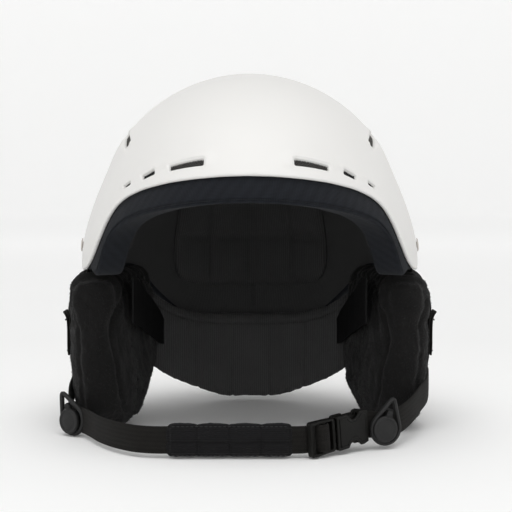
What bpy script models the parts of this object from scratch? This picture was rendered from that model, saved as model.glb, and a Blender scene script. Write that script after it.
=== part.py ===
"""Ski helmet: a hard shell over a foam liner, with comfort pads, ear pads, webbing, strap locks,
a side-release buckle, a fit dial that draws in two bands, and a goggle strap clip.

Metres. +Z up, the brow faces -Y, the table is Z = 0. "l" is the wearer's right side at -X."""

from math import acos, atan2, cos, degrees, hypot, pi, radians, sin, sqrt

import bmesh
import bpy
from mathutils import Matrix, Vector

# Shell: an ellipsoid about (0, 0, EQUATOR_Z), with a slight waist above the brow.
EQUATOR_Z = 0.107
HALF_WIDTH = 0.110
FRONT = 0.152
REAR = 0.132
RISE = 0.123
WAIST = 0.033
SHELL_T = 0.0025
GAP = 0.0003
LINER_IN = (0.021, 0.025, 0.022, 0.022)  # shell surface to the liner's cavity: side, front, rear, top

# Rim of the shell: azimuth from the brow in degrees, and height.
RIM = (
    (0, 0.1640), (10, 0.1635), (20, 0.1620), (29, 0.1600), (40, 0.1560), (48, 0.1510),
    (52, 0.1465), (55, 0.1410), (57, 0.1330), (59, 0.1235), (62, 0.1140), (66, 0.1085),
    (70, 0.1050), (80, 0.1025), (90, 0.1020), (105, 0.1010), (115, 0.0990), (122, 0.0920),
    (130, 0.0780), (140, 0.0620), (152, 0.0510), (165, 0.0460), (180, 0.0450),
)  # fmt: skip
BROW_DROP = 0.016  # the liner's band stands this far below the shell's rim inside the brow

STRAP_W = 0.016
STRAP_T = 0.0013
STRAP_Z = 0.0108  # height of the chin strap's centre line, standing on its edge
FRONT_STRAP_Y = -0.020
REAR_STRAP_Y = 0.050
RIVET_Z = 0.1185

FOLD = Vector((-0.1156, -0.0140, STRAP_Z))  # beside the ear pad at -X, where the long chin strap starts

# Buckle: turned towards the lock and tipped up a little; the plug leaves the socket along PULL.
BUCKLE_TURN = radians(41)
BUCKLE_TIP = radians(5.4)
PULL = -Vector((cos(BUCKLE_TURN) * cos(BUCKLE_TIP), sin(BUCKLE_TURN) * cos(BUCKLE_TIP), sin(BUCKLE_TIP)))
BUCKLE_UP = (Vector((0, 0, 1)) - PULL * PULL.z).normalized()
MOUTH = Vector((0.0512, -0.1167, 0.0130))
BUCKLE_H = 0.0210
PRONG_OUT = 0.0088  # the relieved press tabs stay inside the socket's 18.4 mm cavity

LOCK_R = 0.0095
LOCK_TIP = 0.0195
LOCK_PIN = 0.0102

DIAL_AXIS = Vector((0.0, 0.1090, 0.0330))
PINION_R = 0.0040

PARTS = bpy.data.collections.new("ski_helmet")
CUTTERS = bpy.data.collections.new("cutters")


def material(name, colour, rough, metal=0.0):
    m = bpy.data.materials.get(name)
    if m is None:
        m = bpy.data.materials.new(name)
        m.use_nodes = True
        node = m.node_tree.nodes["Principled BSDF"]
        node.inputs["Base Color"].default_value = (*colour, 1.0)
        node.inputs["Roughness"].default_value = rough
        node.inputs["Metallic"].default_value = metal
        m.diffuse_color = (*colour, 1.0)
    return m


def finish(bm, name, mat, smooth=True, pivot=None, collection=None):
    """Closes a bmesh into a named object, with its origin on pivot."""
    bmesh.ops.recalc_face_normals(bm, faces=bm.faces)
    if bm.calc_volume(signed=True) < 0:
        bmesh.ops.reverse_faces(bm, faces=bm.faces)
    if pivot is not None:
        bmesh.ops.translate(bm, verts=bm.verts, vec=-Vector(pivot))
    mesh = bpy.data.meshes.new(name)
    bm.to_mesh(mesh)
    bm.free()
    mesh.polygons.foreach_set("use_smooth", [smooth] * len(mesh.polygons))
    ob = bpy.data.objects.new(name, mesh)
    if pivot is not None:
        ob.location = Vector(pivot)
    (collection or PARTS).objects.link(ob)
    if mat is not None:
        mesh.materials.append(mat)
    return ob


def cutter(bm, name):
    ob = finish(bm, "cut_" + name, None, smooth=False, collection=CUTTERS)
    ob.hide_render = True
    ob.display_type = "WIRE"
    return ob


def cut(ob, tool, operation="DIFFERENCE"):
    mod = ob.modifiers.new(tool.name, "BOOLEAN")
    mod.operation = operation
    mod.solver = "EXACT"
    mod.object = tool


def frame_matrix(origin, x, y, z):
    m = Matrix.Identity(4)
    for i, axis in enumerate((x, y, z)):
        m.col[i][:3] = Vector(axis).normalized()
    m.translation = Vector(origin)
    return m


def block(bm, size, matrix, bevel=0.0):
    """Adds a box of the given size to bm, its own edges rounded by bevel."""
    new = bmesh.new()
    bmesh.ops.create_cube(new, size=1.0)
    bmesh.ops.scale(new, vec=size, verts=new.verts)
    if bevel:
        bmesh.ops.bevel(new, geom=new.edges[:], offset=bevel, segments=1, affect="EDGES", profile=0.5)
    bmesh.ops.transform(new, matrix=matrix, verts=new.verts)
    mesh = bpy.data.meshes.new("block")
    new.to_mesh(mesh)
    new.free()
    bm.from_mesh(mesh)
    bpy.data.meshes.remove(mesh)
    return bm


def lathe(bm, profile, matrix, steps=20):
    """Adds a solid of revolution about the local Z axis. A profile that starts and ends on the axis is solid."""
    new = bmesh.new()
    verts = [new.verts.new((r, 0.0, h)) for r, h in profile]
    edges = [new.edges.new(pair) for pair in zip(verts, verts[1:])]
    if profile[0][0] > 0:
        edges.append(new.edges.new((verts[-1], verts[0])))
    bmesh.ops.spin(
        new, geom=verts + edges, cent=(0, 0, 0), axis=(0, 0, 1), angle=2 * pi, steps=steps, use_merge=True
    )
    bmesh.ops.remove_doubles(new, verts=new.verts, dist=1e-6)
    bmesh.ops.transform(new, matrix=matrix, verts=new.verts)
    mesh = bpy.data.meshes.new("lathe")
    new.to_mesh(mesh)
    new.free()
    bm.from_mesh(mesh)
    bpy.data.meshes.remove(mesh)
    return bm


def rod(bm, radius, start, end, steps=16):
    start, end = Vector(start), Vector(end)
    z = (end - start).normalized()
    x = z.orthogonal().normalized()
    return lathe(
        bm,
        [(0, 0), (radius, 0), (radius, (end - start).length), (0, (end - start).length)],
        frame_matrix(start, x, z.cross(x), z),
        steps,
    )


def slab(name, nx, ny, place, mat, pivot=None, smooth=True):
    """A closed sheet: place(u, v, d) gives its far face at d = 0 and its near face at d = 1."""
    bm = bmesh.new()
    bmesh.ops.create_grid(bm, x_segments=nx, y_segments=ny, size=0.5)
    spots = {}
    for v in bm.verts:
        spots[v] = (v.co.x + 0.5, v.co.y + 0.5, 0.0)
    out = bmesh.ops.extrude_face_region(bm, geom=bm.faces[:], use_keep_orig=True)
    for v in out["geom"]:
        if isinstance(v, bmesh.types.BMVert):
            spots[v] = (v.co.x + 0.5, v.co.y + 0.5, 1.0)
    for v, (a, b, d) in spots.items():
        v.co = place(a, b, d)
    return finish(bm, name, mat, smooth, pivot)


def ribbon(name, line, mat, width=STRAP_W, thick=STRAP_T, across=(0, 0, 1), pivot=None):
    """Webbing along a line of points; across is the direction of its width."""
    line = [Vector(p) for p in line]
    across = Vector(across)
    n = len(line) - 1

    def place(u, v, d):
        i = round(u * n)
        ahead = line[min(i + 1, n)] - line[i]
        behind = line[i] - line[max(i - 1, 0)]
        way = (ahead.normalized() if ahead.length else behind.normalized()) + (
            behind.normalized() if behind.length else ahead.normalized()
        )
        side = across.cross(way).normalized()
        turn = max(0.75, way.length / 2)
        return line[i] + across * (v - 0.5) * width + side * (d - 0.5) * thick / turn

    return slab(name, n, 1, place, mat, pivot)


def smooth_line(points, per=3):
    """A Catmull-Rom line through the points."""
    pts = [Vector(p) for p in points]
    ends = [pts[0] * 2 - pts[1]] + pts + [pts[-1] * 2 - pts[-2]]
    line = []
    for a, b, c, d in zip(ends, ends[1:], ends[2:], ends[3:]):
        for k in range(per):
            t = k / per
            line.append(
                0.5 * (2 * b + (c - a) * t + (2 * a - 5 * b + 4 * c - d) * t**2 + (3 * b - a - 3 * c + d) * t**3)
            )
    return [*line, pts[-1]]


def ramp(x, x0, x1):
    t = min(1.0, max(0.0, (x - x0) / (x1 - x0)))
    return t * t * (3 - 2 * t)


# ---------------------------------------------------------------- dome surfaces


def rim_height(a):
    a = abs(a)
    for (a0, z0), (a1, z1) in zip(RIM, RIM[1:]):
        if a <= a1:
            return z0 + (z1 - z0) * (a - a0) / (a1 - a0)
    return RIM[-1][1]


def dome_point(a, w, inset=(0.0, 0.0, 0.0, 0.0)):
    """A point at azimuth a from the brow and angle w from the crown, both in degrees."""
    side, front, rear, top = inset
    t = min(1.0, max(0.0, (w - 36) / 54))
    waist = 1 - WAIST * sin(pi * t) ** 2
    reach = FRONT - front if cos(radians(a)) > 0 else REAR - rear
    return Vector(
        (
            (HALF_WIDTH - side) * sin(radians(w)) * waist * sin(radians(a)),
            -reach * sin(radians(w)) * cos(radians(a)),
            EQUATOR_Z + (RISE - top) * cos(radians(w)),
        )
    )


def angle_at(z, top=0.0):
    return degrees(acos(max(-1.0, min(1.0, (z - EQUATOR_Z) / (RISE - top)))))


def dome_normal(p):
    reach = FRONT if p.y < 0 else REAR
    return Vector((p.x / HALF_WIDTH**2, p.y / reach**2, (p.z - EQUATOR_Z) / RISE**2)).normalized()


def dome_x(y, z, inset):
    """How far out the dome stands at (y, z), at a depth below the shell's surface."""
    w = angle_at(z, inset)
    t = min(1.0, max(0.0, (w - 36) / 54))
    waist = 1 - WAIST * sin(pi * t) ** 2
    reach = ((FRONT if y < 0 else REAR) - inset) * sin(radians(w))
    return (HALF_WIDTH - inset) * waist * sin(radians(w)) * sqrt(max(0.0, 1 - (y / reach) ** 2))


def columns(n):
    """Azimuths of n + 1 columns from brow to nape, evenly spaced along the rim."""
    many = [i * 0.1 for i in range(1801)]
    line = [dome_point(a, angle_at(rim_height(a))) for a in many]
    run = [0.0]
    for p, q in zip(line, line[1:]):
        run.append(run[-1] + (q - p).length)
    found, k = [], 0
    for i in range(n + 1):
        while k < 1800 and run[k] < run[-1] * i / n:
            k += 1
        found.append(many[k])
    return found


def dome(name, half, rings, outer, inner, mat):
    """A dome with a cavity: a UV sphere, its upper half laid on outer(a, t) and its lower on inner(a, t)."""
    az = columns(half)
    bm = bmesh.new()
    count = 2 * rings + 1
    bmesh.ops.create_uvsphere(bm, u_segments=2 * half, v_segments=count, radius=1.0)
    for v in bm.verts:
        ring = round(acos(max(-1.0, min(1.0, v.co.z))) / pi * count)
        j = round(atan2(v.co.y, v.co.x) / pi * half)
        a = az[j] if j >= 0 else -az[-j]
        v.co = outer(a, ring / rings) if ring <= rings else inner(a, (count - ring) / rings)
    return finish(bm, name, mat)


def shell_rim_angle(a):
    return angle_at(rim_height(a))


def liner_rim_height(a):
    a = abs(a)
    z = rim_height(a)
    low = z - BROW_DROP * (1 - ramp(a, 58, 72))
    if a < 100:
        return max(low, 0.1005)
    return low + 0.005 * ramp(a, 120, 150)


def liner_rim_angle(a):
    return angle_at(liner_rim_height(a), LINER_IN[3])


def deeper(inset, by):
    return tuple(i + by for i in inset)


# ---------------------------------------------------------------- shell, liner and vents

WHITE = material("shell_white", (0.83, 0.82, 0.80), 0.42)
FOAM = material("liner_foam", (0.020, 0.020, 0.023), 0.85)
MESH = material("vent_mesh", (0.012, 0.012, 0.012), 0.60)
FLEECE = material("fleece", (0.013, 0.013, 0.015), 0.95)
PLUSH = material("plush", (0.013, 0.013, 0.013), 1.0)
WEB = material("webbing", (0.015, 0.014, 0.013), 0.80)
PLASTIC = material("buckle_plastic", (0.022, 0.021, 0.018), 0.45)
LOCK = material("lock_plastic", (0.028, 0.028, 0.028), 0.50)
BAND = material("band_plastic", (0.060, 0.060, 0.062), 0.40)
GREY = material("rivet_grey", (0.50, 0.46, 0.43), 0.45, 0.2)
STEEL = material("steel", (0.55, 0.55, 0.56), 0.30, 1.0)

# Slots in the right half of the shell: name, forward end, rear end, width. The left half mirrors them.
SLOTS = (
    ("brow", (0.0270, -0.1240, 0.1715), (0.0480, -0.1140, 0.1675), 0.0036),
    ("temple", (0.0570, -0.1060, 0.1655), (0.0650, -0.1000, 0.1615), 0.0032),
    ("corner", (0.0720, -0.0910, 0.1585), (0.0770, -0.0860, 0.1555), 0.0020),
    ("side", (0.0770, -0.0560, 0.1820), (0.0800, -0.0260, 0.1900), 0.0050),
    ("rear", (0.0500, 0.0840, 0.1800), (0.0300, 0.0960, 0.1800), 0.0060),
)


def on_shell(p):
    """Moves a point straight out or in to the shell's surface, about the shell's own centre."""
    p = Vector(p)
    w = degrees(
        atan2(hypot(p.x / HALF_WIDTH, p.y / (FRONT if p.y < 0 else REAR)), (p.z - EQUATOR_Z) / RISE)
    )
    a = degrees(atan2(p.x / HALF_WIDTH, -p.y / (FRONT if p.y < 0 else REAR)))
    return dome_point(a, w)


def slot_frame(first, last, side):
    p, q = on_shell(first), on_shell(last)
    p.x, q.x = p.x * side, q.x * side
    mid = (p + q) / 2
    out = dome_normal(mid)
    along = (q - p).normalized()
    return frame_matrix(mid, along, out.cross(along), out), (q - p).length


def shell_and_vents():
    rim = shell_rim_angle
    inner = (SHELL_T,) * 4
    shell = dome(
        "outer_shell", 32, 11,
        lambda a, t: dome_point(a, t * rim(a)),
        lambda a, t: dome_point(a, t * rim(a), inner),
        WHITE,
    )  # fmt: skip
    tools = bmesh.new()
    for side, tag in ((-1, "l"), (1, "r")):
        for name, first, last, width in SLOTS:
            m, length = slot_frame(first, last, side)
            block(tools, (length, width, 0.012), m)
            if name in ("brow", "side", "rear"):
                bm = bmesh.new()
                size = (length - 2 * GAP, width - 2 * GAP, 0.0008)
                block(bm, size, m @ Matrix.Translation((0, 0, -0.0012)))
                finish(bm, f"vent_mesh_{name}_{tag}", MESH, smooth=False)
        for y in (FRONT_STRAP_Y, REAR_STRAP_Y):
            p, out = rivet_spot(y, side)
            rod(tools, 0.0023, p - out * 0.004, p + out * 0.004)
    cut(shell, cutter(tools, "shell"))


def rivet_spot(y, side):
    p = Vector((dome_x(y, RIVET_Z, 0.0), y, RIVET_Z))
    out = dome_normal(p)
    return Vector((p.x * side, p.y, p.z)), Vector((out.x * side, out.y, out.z))


def foam_liner():
    outer = (SHELL_T + 0.0007,) * 4
    liner = dome(
        "eps_liner", 32, 11,
        lambda a, t: dome_point(a, t * shell_rim_angle(a), outer),
        lambda a, t: dome_point(a, t * liner_rim_angle(a), LINER_IN),
        FOAM,
    )  # fmt: skip
    tools = bmesh.new()
    for side in (-1, 1):
        for y in (FRONT_STRAP_Y, REAR_STRAP_Y):
            p, out = rivet_spot(y, side)
            along = Vector((0, 0, 1))
            across = along.cross(out).normalized()
            m = frame_matrix(p - out * 0.0020, across, out.cross(across), out)
            block(tools, (0.0225, 0.040, 0.0120), m @ Matrix.Translation((0, -0.006, 0.0)))
    cut(liner, cutter(tools, "strap_channels"))


def pad_patch(name, a0, a1, w0, w1, thick, nx=8, ny=5):
    """A comfort pad on the liner's inner face, its corners and edges eased."""
    base = deeper(LINER_IN, 0.0010)

    def place(u, v, d):
        x, y = 2 * u - 1, 2 * v - 1
        round_off = 1 - 0.07 * (x * x * y * y)
        a = (a0 + a1) / 2 + (a1 - a0) / 2 * x * round_off
        w = (w0 + w1) / 2 + (w1 - w0) / 2 * y * round_off
        edge = min(1.0, 3.0 * (1 - max(abs(x), abs(y))) + 0.35)
        return dome_point(a, w, deeper(base, d * thick * edge))

    return slab(name, nx, ny, place, FLEECE)


def comfort_pads():
    def crown(u, v, d):
        x, y = 2 * u - 1, 2 * v - 1
        r = max(abs(x), abs(y))
        a = degrees(atan2(x, -y)) if r else 0.0
        edge = min(1.0, 3.0 * (1 - r) + 0.35)
        return dome_point(a, 30 * r, deeper(deeper(LINER_IN, 0.0010), d * 0.006 * edge))

    slab("crown_pad", 8, 8, crown, FLEECE)
    pad_patch("brow_pad", -44, 44, 52, 63, 0.006)
    for side, tag in ((-1, "l"), (1, "r")):
        pad_patch(f"side_pad_{tag}", side * 66, side * 108, 58, 88, 0.007)
    pad_patch("rear_pad", 140, 220, 62, 104, 0.007)


# ---------------------------------------------------------------- ear pads and nape pad

EAR_Y, EAR_Z, EAR_HY, EAR_HZ = 0.004, 0.0495, 0.060, 0.053
EAR_TOP = 0.0990
EAR_POWER = 3.2
EAR_EASE = 0.55


def ear_outer(y):
    return 0.1125 - (2.6 if y > -0.01 else 0.8) * (y + 0.01) ** 2


def ear_inner(y):
    return 0.0740 - 0.15 * y


def ear_lean(z):
    return 0.014 * (max(0.0, 0.055 - z) / 0.055) ** 2 + 0.0045 * ramp(z, 0.070, 0.099)


def ear_surface(y, z):
    """How far out the ear pad's outer face stands at (y, z)."""
    r = (abs((y - EAR_Y) / EAR_HY) ** EAR_POWER + abs((z - EAR_Z) / EAR_HZ) ** EAR_POWER) ** (1 / EAR_POWER)
    s = min(1.0, r ** (1 / EAR_EASE))
    bulge = (1 - s * s) ** (EAR_EASE / 2)
    out, back = ear_outer(y), ear_inner(y)
    return (out + back) / 2 - ear_lean(z) + bulge * (out - back) / 2


def ear_pads():
    for side, tag in ((-1, "l"), (1, "r")):
        bm = bmesh.new()
        bmesh.ops.create_uvsphere(bm, u_segments=28, v_segments=12, radius=1.0)
        for v in bm.verts:
            c, s = v.co.z, hypot(v.co.x, v.co.y)
            th = atan2(v.co.y, v.co.x)
            r = s**EAR_EASE if s > 1e-6 else 0.0
            y = EAR_Y + EAR_HY * r * (1 if cos(th) >= 0 else -1) * abs(cos(th)) ** (2 / EAR_POWER)
            z = EAR_Z + EAR_HZ * r * (1 if sin(th) >= 0 else -1) * abs(sin(th)) ** (2 / EAR_POWER)
            bulge = (1 if c >= 0 else -1) * abs(c) ** EAR_EASE
            out, back = ear_outer(y), ear_inner(y)
            x = (out + back) / 2 - ear_lean(z) + bulge * (out - back) / 2
            v.co = (side * x, y, min(EAR_TOP, max(0.0, z)))
        finish(bm, f"ear_pad_{tag}", PLUSH)
        for place, y in (("front", -0.028), ("rear", 0.030)):
            bm = bmesh.new()
            x = side * ((ear_outer(y) + ear_inner(y)) / 2)
            m = frame_matrix((x, y, EAR_TOP + GAP), (1, 0, 0), (0, 1, 0), (0, 0, 1))
            lathe(bm, [(0, 0), (0.0045, 0), (0.0045, 0.0008), (0.002, 0.0011), (0, 0.0011)], m, 16)
            finish(bm, f"ear_snap_{place}_{tag}", LOCK)


def nape_pad():
    def place(u, v, d):
        x = (2 * u - 1) * 0.0625
        low = max(0.0, 0.024 * (x / 0.065) ** 2 - 0.0012)
        high = 0.0475 - 0.0130 * (x / 0.065) ** 2
        mid = 0.0905 - 0.031 * (x / 0.065) ** 2
        v2 = 2 * v - 1
        half = 0.0072 * (1 - 0.55 * abs(2 * u - 1) ** 4) * (1 - 0.35 * v2**4)
        return Vector((x, mid + (1 - 2 * d) * half, low + (high - low) * v))

    slab("nape_pad", 18, 8, place, FLEECE)


# ---------------------------------------------------------------- straps from the shell to the fold


def height_strap(name, side, line, reach, mat):
    """Webbing lying on the head's side: line runs in (y, z), reach(y, z) says how far out its middle stands."""
    n = len(line) - 1

    def place(u, v, d):
        i = round(u * n)
        p, q = Vector(line[max(i - 1, 0)]), Vector(line[min(i + 1, n)])
        way = (q - p).normalized()
        y = line[i][0] - way.y * (v - 0.5) * STRAP_W
        z = line[i][1] + way.x * (v - 0.5) * STRAP_W
        return Vector((side * (reach(y, z) + (d - 0.5) * STRAP_T), y, z))

    return slab(name, n, 2, place, mat)


def front_reach(y, z):
    """The front strap comes out under the shell's rim, then stands proud of the ear pad."""
    stops = ((0.0185, 0.1110), (0.027, 0.1122), (0.036, 0.1138), (0.050, 0.1160), (0.065, 0.1168),
             (0.078, 0.1175), (0.088, 0.1135), (0.096, 0.1090), (0.1005, 0.1063))  # fmt: skip
    inside = dome_x(y, z, 0.0042)
    if z >= 0.1005:
        return inside
    z = max(z, stops[0][0])
    for (z0, x0), (z1, x1) in zip(stops, stops[1:]):
        if z <= z1:
            x = x0 + (x1 - x0) * (z - z0) / (z1 - z0)
            break
    x -= 0.25 * (y - FRONT_STRAP_Y) ** 2 * ramp(z, 0.08, 0.10) / 0.008
    return x


def rear_reach(y, z):
    inside = dome_x(y, z, 0.0042)
    if z >= 0.100:
        return inside
    hanging = dome_x(y, 0.100, 0.0042) + 0.40 * max(0.0, 0.0975 - z)
    return max(ear_surface(y, z) + 0.0014, min(hanging, 0.1000))


def side_straps():
    front = [(FRONT_STRAP_Y, z) for z in (0.127, 0.120, 0.113, 0.106, 0.1005, 0.096, 0.092, 0.088, 0.083, 0.078,
                                          0.071, 0.065, 0.057, 0.050, 0.042, 0.035, 0.027, 0.0185)]  # fmt: skip
    rear = smooth_line(
        [(0.050, 0.126, 0), (0.050, 0.113, 0), (0.0498, 0.102, 0), (0.0470, 0.090, 0), (0.0405, 0.076, 0),
         (0.0310, 0.061, 0), (0.0200, 0.047, 0), (0.0080, 0.036, 0), (-0.0040, 0.0285, 0), (-0.0100, 0.0260, 0)], 2,
    )  # fmt: skip
    rear = [(p.x, p.y) for p in rear]
    for side, tag in ((-1, "l"), (1, "r")):
        tools = bmesh.new()
        a = height_strap(f"front_strap_{tag}", side, front, front_reach, WEB)
        b = height_strap(f"rear_strap_{tag}", side, rear, rear_reach, WEB)
        for y in (FRONT_STRAP_Y, REAR_STRAP_Y):
            p, out = rivet_spot(y, side)
            rod(tools, 0.0023, p - out * 0.008, p + out * 0.002)
            bm = bmesh.new()
            x = out.orthogonal().normalized()
            head = [(0, 0.0014), (0.003, 0.0013), (0.0045, 0.0008), (0.0045, 0.0003), (0.002, 0.0003),
                    (0.002, -0.0054), (0.0036, -0.0054), (0.0036, -0.0062), (0, -0.0062)]  # fmt: skip
            lathe(bm, head, frame_matrix(p, x, out.cross(x), out), 20)
            finish(bm, f"strap_rivet_{'front' if y < 0 else 'rear'}_{tag}", GREY)
        tool = cutter(tools, f"rivet_holes_{tag}")
        cut(a, tool)
        cut(b, tool)


# ---------------------------------------------------------------- strap locks


def lock_frames():
    """Each lock's own frame: x along the strap, y up to its tip, z out. Its origin is the cap's centre."""
    spots = {
        "r": (Vector((0.0806, -0.0991, 0.0140)), Vector((0.40, -0.917, 0.0)), radians(17)),
        "l": (Vector((-0.1118, -0.0548, 0.0100)), Vector((-0.86, -0.51, 0.0)), radians(-14)),
    }
    for tag, (at, out, lean) in spots.items():
        out.normalize()
        along = Vector((-out.y, out.x, 0.0)) if tag == "r" else Vector((-out.y, out.x, 0.0))
        up = Vector((0, 0, 1)) * cos(lean) + along * (sin(lean))
        side = up.cross(out)
        yield tag, frame_matrix(at, side, up, out)


def drop_outline(radius, tip, n=9):
    """A round outline drawn out to a point above it."""
    reach = acos(radius / tip)
    start, end = pi / 2 + reach, pi / 2 - reach + 2 * pi
    pts = [(radius * cos(start + (end - start) * k / (2 * n)), radius * sin(start + (end - start) * k / (2 * n)))
           for k in range(2 * n + 1)]  # fmt: skip
    return [*pts, (0.0, tip)]


def prism(bm, outline, z0, z1, matrix):
    new = bmesh.new()
    face = new.faces.new([new.verts.new((x, y, z0)) for x, y in outline])
    out = bmesh.ops.extrude_face_region(new, geom=[face], use_keep_orig=True)
    bmesh.ops.translate(
        new, verts=[v for v in out["geom"] if isinstance(v, bmesh.types.BMVert)], vec=(0, 0, z1 - z0)
    )
    bmesh.ops.transform(new, matrix=matrix, verts=new.verts)
    mesh = bpy.data.meshes.new("prism")
    new.to_mesh(mesh)
    new.free()
    bm.from_mesh(mesh)
    bpy.data.meshes.remove(mesh)
    return bm


def strap_locks():
    for tag, m in lock_frames():
        bm = prism(bmesh.new(), drop_outline(LOCK_R, LOCK_TIP), -0.0015, 0.0015, m)
        ob = finish(bm, f"strap_lock_frame_{tag}", LOCK, smooth=False)
        tool = prism(bmesh.new(), drop_outline(LOCK_R - 0.0022, LOCK_TIP - 0.0052), -0.004, 0.004, m)
        cut(ob, cutter(tool, f"lock_window_{tag}"))
        axis = m.to_3x3() @ Vector((1, 0, 0))
        pin = m @ Vector((0, LOCK_PIN, 0))
        tool = rod(bmesh.new(), 0.0007 + 0.00015, pin - axis * 0.0051, pin + axis * 0.0051)
        cut(ob, cutter(tool, f"lock_pin_hole_{tag}"))
        bm = rod(bmesh.new(), 0.0007, pin - axis * 0.0049, pin + axis * 0.0049, 12)
        finish(bm, f"strap_lock_pin_{tag}", STEEL)

        radius = LOCK_R - 0.0027
        bm = lathe(
            bmesh.new(),
            [(0, -0.0010), (radius, -0.0010), (radius, 0.0008), (radius - 0.0008, 0.0014), (0, 0.0016)],
            m, 28,
        )  # fmt: skip
        cap = finish(bm, f"strap_lock_cap_{tag}", LOCK, pivot=pin)
        lug = [(-0.0016, 0.0045), (0.0016, 0.0045), (0.0016, LOCK_PIN + 0.0012), (-0.0016, LOCK_PIN + 0.0012)]
        cut(cap, cutter(prism(bmesh.new(), lug, -0.0009, 0.0012, m), f"lock_lug_{tag}"), "UNION")
        bore = rod(bmesh.new(), 0.0009, pin - axis * 0.003, pin + axis * 0.003, 12)
        cut(cap, cutter(bore, f"lock_bore_{tag}"))


# ---------------------------------------------------------------- chin strap and buckle

BUCKLE = frame_matrix(MOUTH, PULL, BUCKLE_UP, PULL.cross(BUCKLE_UP))  # x pull, y up, z towards the head
TAB = (-0.0065, -0.0145)  # where the press tabs lie along the socket


def buckle_point(x, out, up=0.0):
    return BUCKLE @ Vector((x, up, -out))


def chin_strap():
    z = STRAP_Z
    short = smooth_line(
        [(0.1156, -0.0080, 0.0262), (0.1153, -0.0220, 0.0236), (0.1118, -0.0410, 0.0206), (0.1065, -0.0570, 0.0190),
         (0.1015, -0.0705, 0.0170), (0.0960, -0.0810, 0.0155), (0.0905, -0.0890, 0.0146), (0.0850, -0.0934, 0.0141),
         (0.0794, -0.0963, 0.0141), (0.0750, -0.0980, 0.0145), (0.0714, -0.0995, 0.0151)], 2,
    )  # fmt: skip
    ribbon("chin_strap_short", [*short, *socket_loop()], WEB)
    near = smooth_line(
        [(FOLD.x, FOLD.y, 0.0256), (-0.1162, -0.0300, 0.0200), (-0.1143, -0.0447, 0.0136), (-0.1092, -0.0533, z),
         (-0.1041, -0.0619, z), (-0.0980, -0.0745, z), (-0.0905, -0.0920, z), (-0.0800, -0.1090, z),
         (-0.0680, -0.1215, z), (-0.0580, -0.1262, z), (-0.0500, -0.1272, z)], 2,
    )  # fmt: skip
    pad = [Vector((x, -0.1272, z)) for x in (-0.040, -0.025, -0.010, 0.005, 0.018, 0.0275)]
    ladder = [buckle_point(x, out) for x, out in
              ((0.0166, -0.0026), (0.0160, 0.0), (0.0152, 0.0020), (0.0138, 0.0034), (0.0119, 0.0038),
               (0.0100, 0.0034), (0.0086, 0.0020), (0.0077, 0.0), (0.0066, -0.0026), (0.0045, -0.0048),
               (-0.0040, -0.0060), (-0.0180, -0.0062))]  # fmt: skip
    turn = [Vector((0.0305, -0.1272, 0.0109)), Vector((0.0335, -0.1270, 0.0111)), Vector((0.0358, -0.1265, 0.0113))]
    ribbon("chin_strap_long", [*near, *pad, *turn, *ladder], WEB, pivot=FOLD)


def socket_loop():
    return [buckle_point(x, out) for x, out in
            ((-0.0240, 0.0), (-0.0225, 0.0), (-0.0210, 0.0), (-0.0195, 0.0))]  # fmt: skip


def chin_pad():
    def place(u, v, d):
        x = -0.049 + 0.075 * u
        y, z = 2 * d - 1, 2 * v - 1
        plump = 1 - 0.22 * abs(2 * u - 1) ** 6
        half_t = 0.0046 * plump * (1 - 0.25 * z**4)
        return Vector((x, -0.1272 + y * half_t, 0.0003 + 0.0107 * (1 + z) ))

    ob = slab("chin_pad", 12, 6, place, FLEECE, pivot=(0, -0.1272, STRAP_Z))
    tool = block(bmesh.new(), (0.09, 0.0024, 0.0168), Matrix.Translation((-0.0115, -0.1272, STRAP_Z)))
    cut(ob, cutter(tool, "strap_sleeve"))


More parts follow.
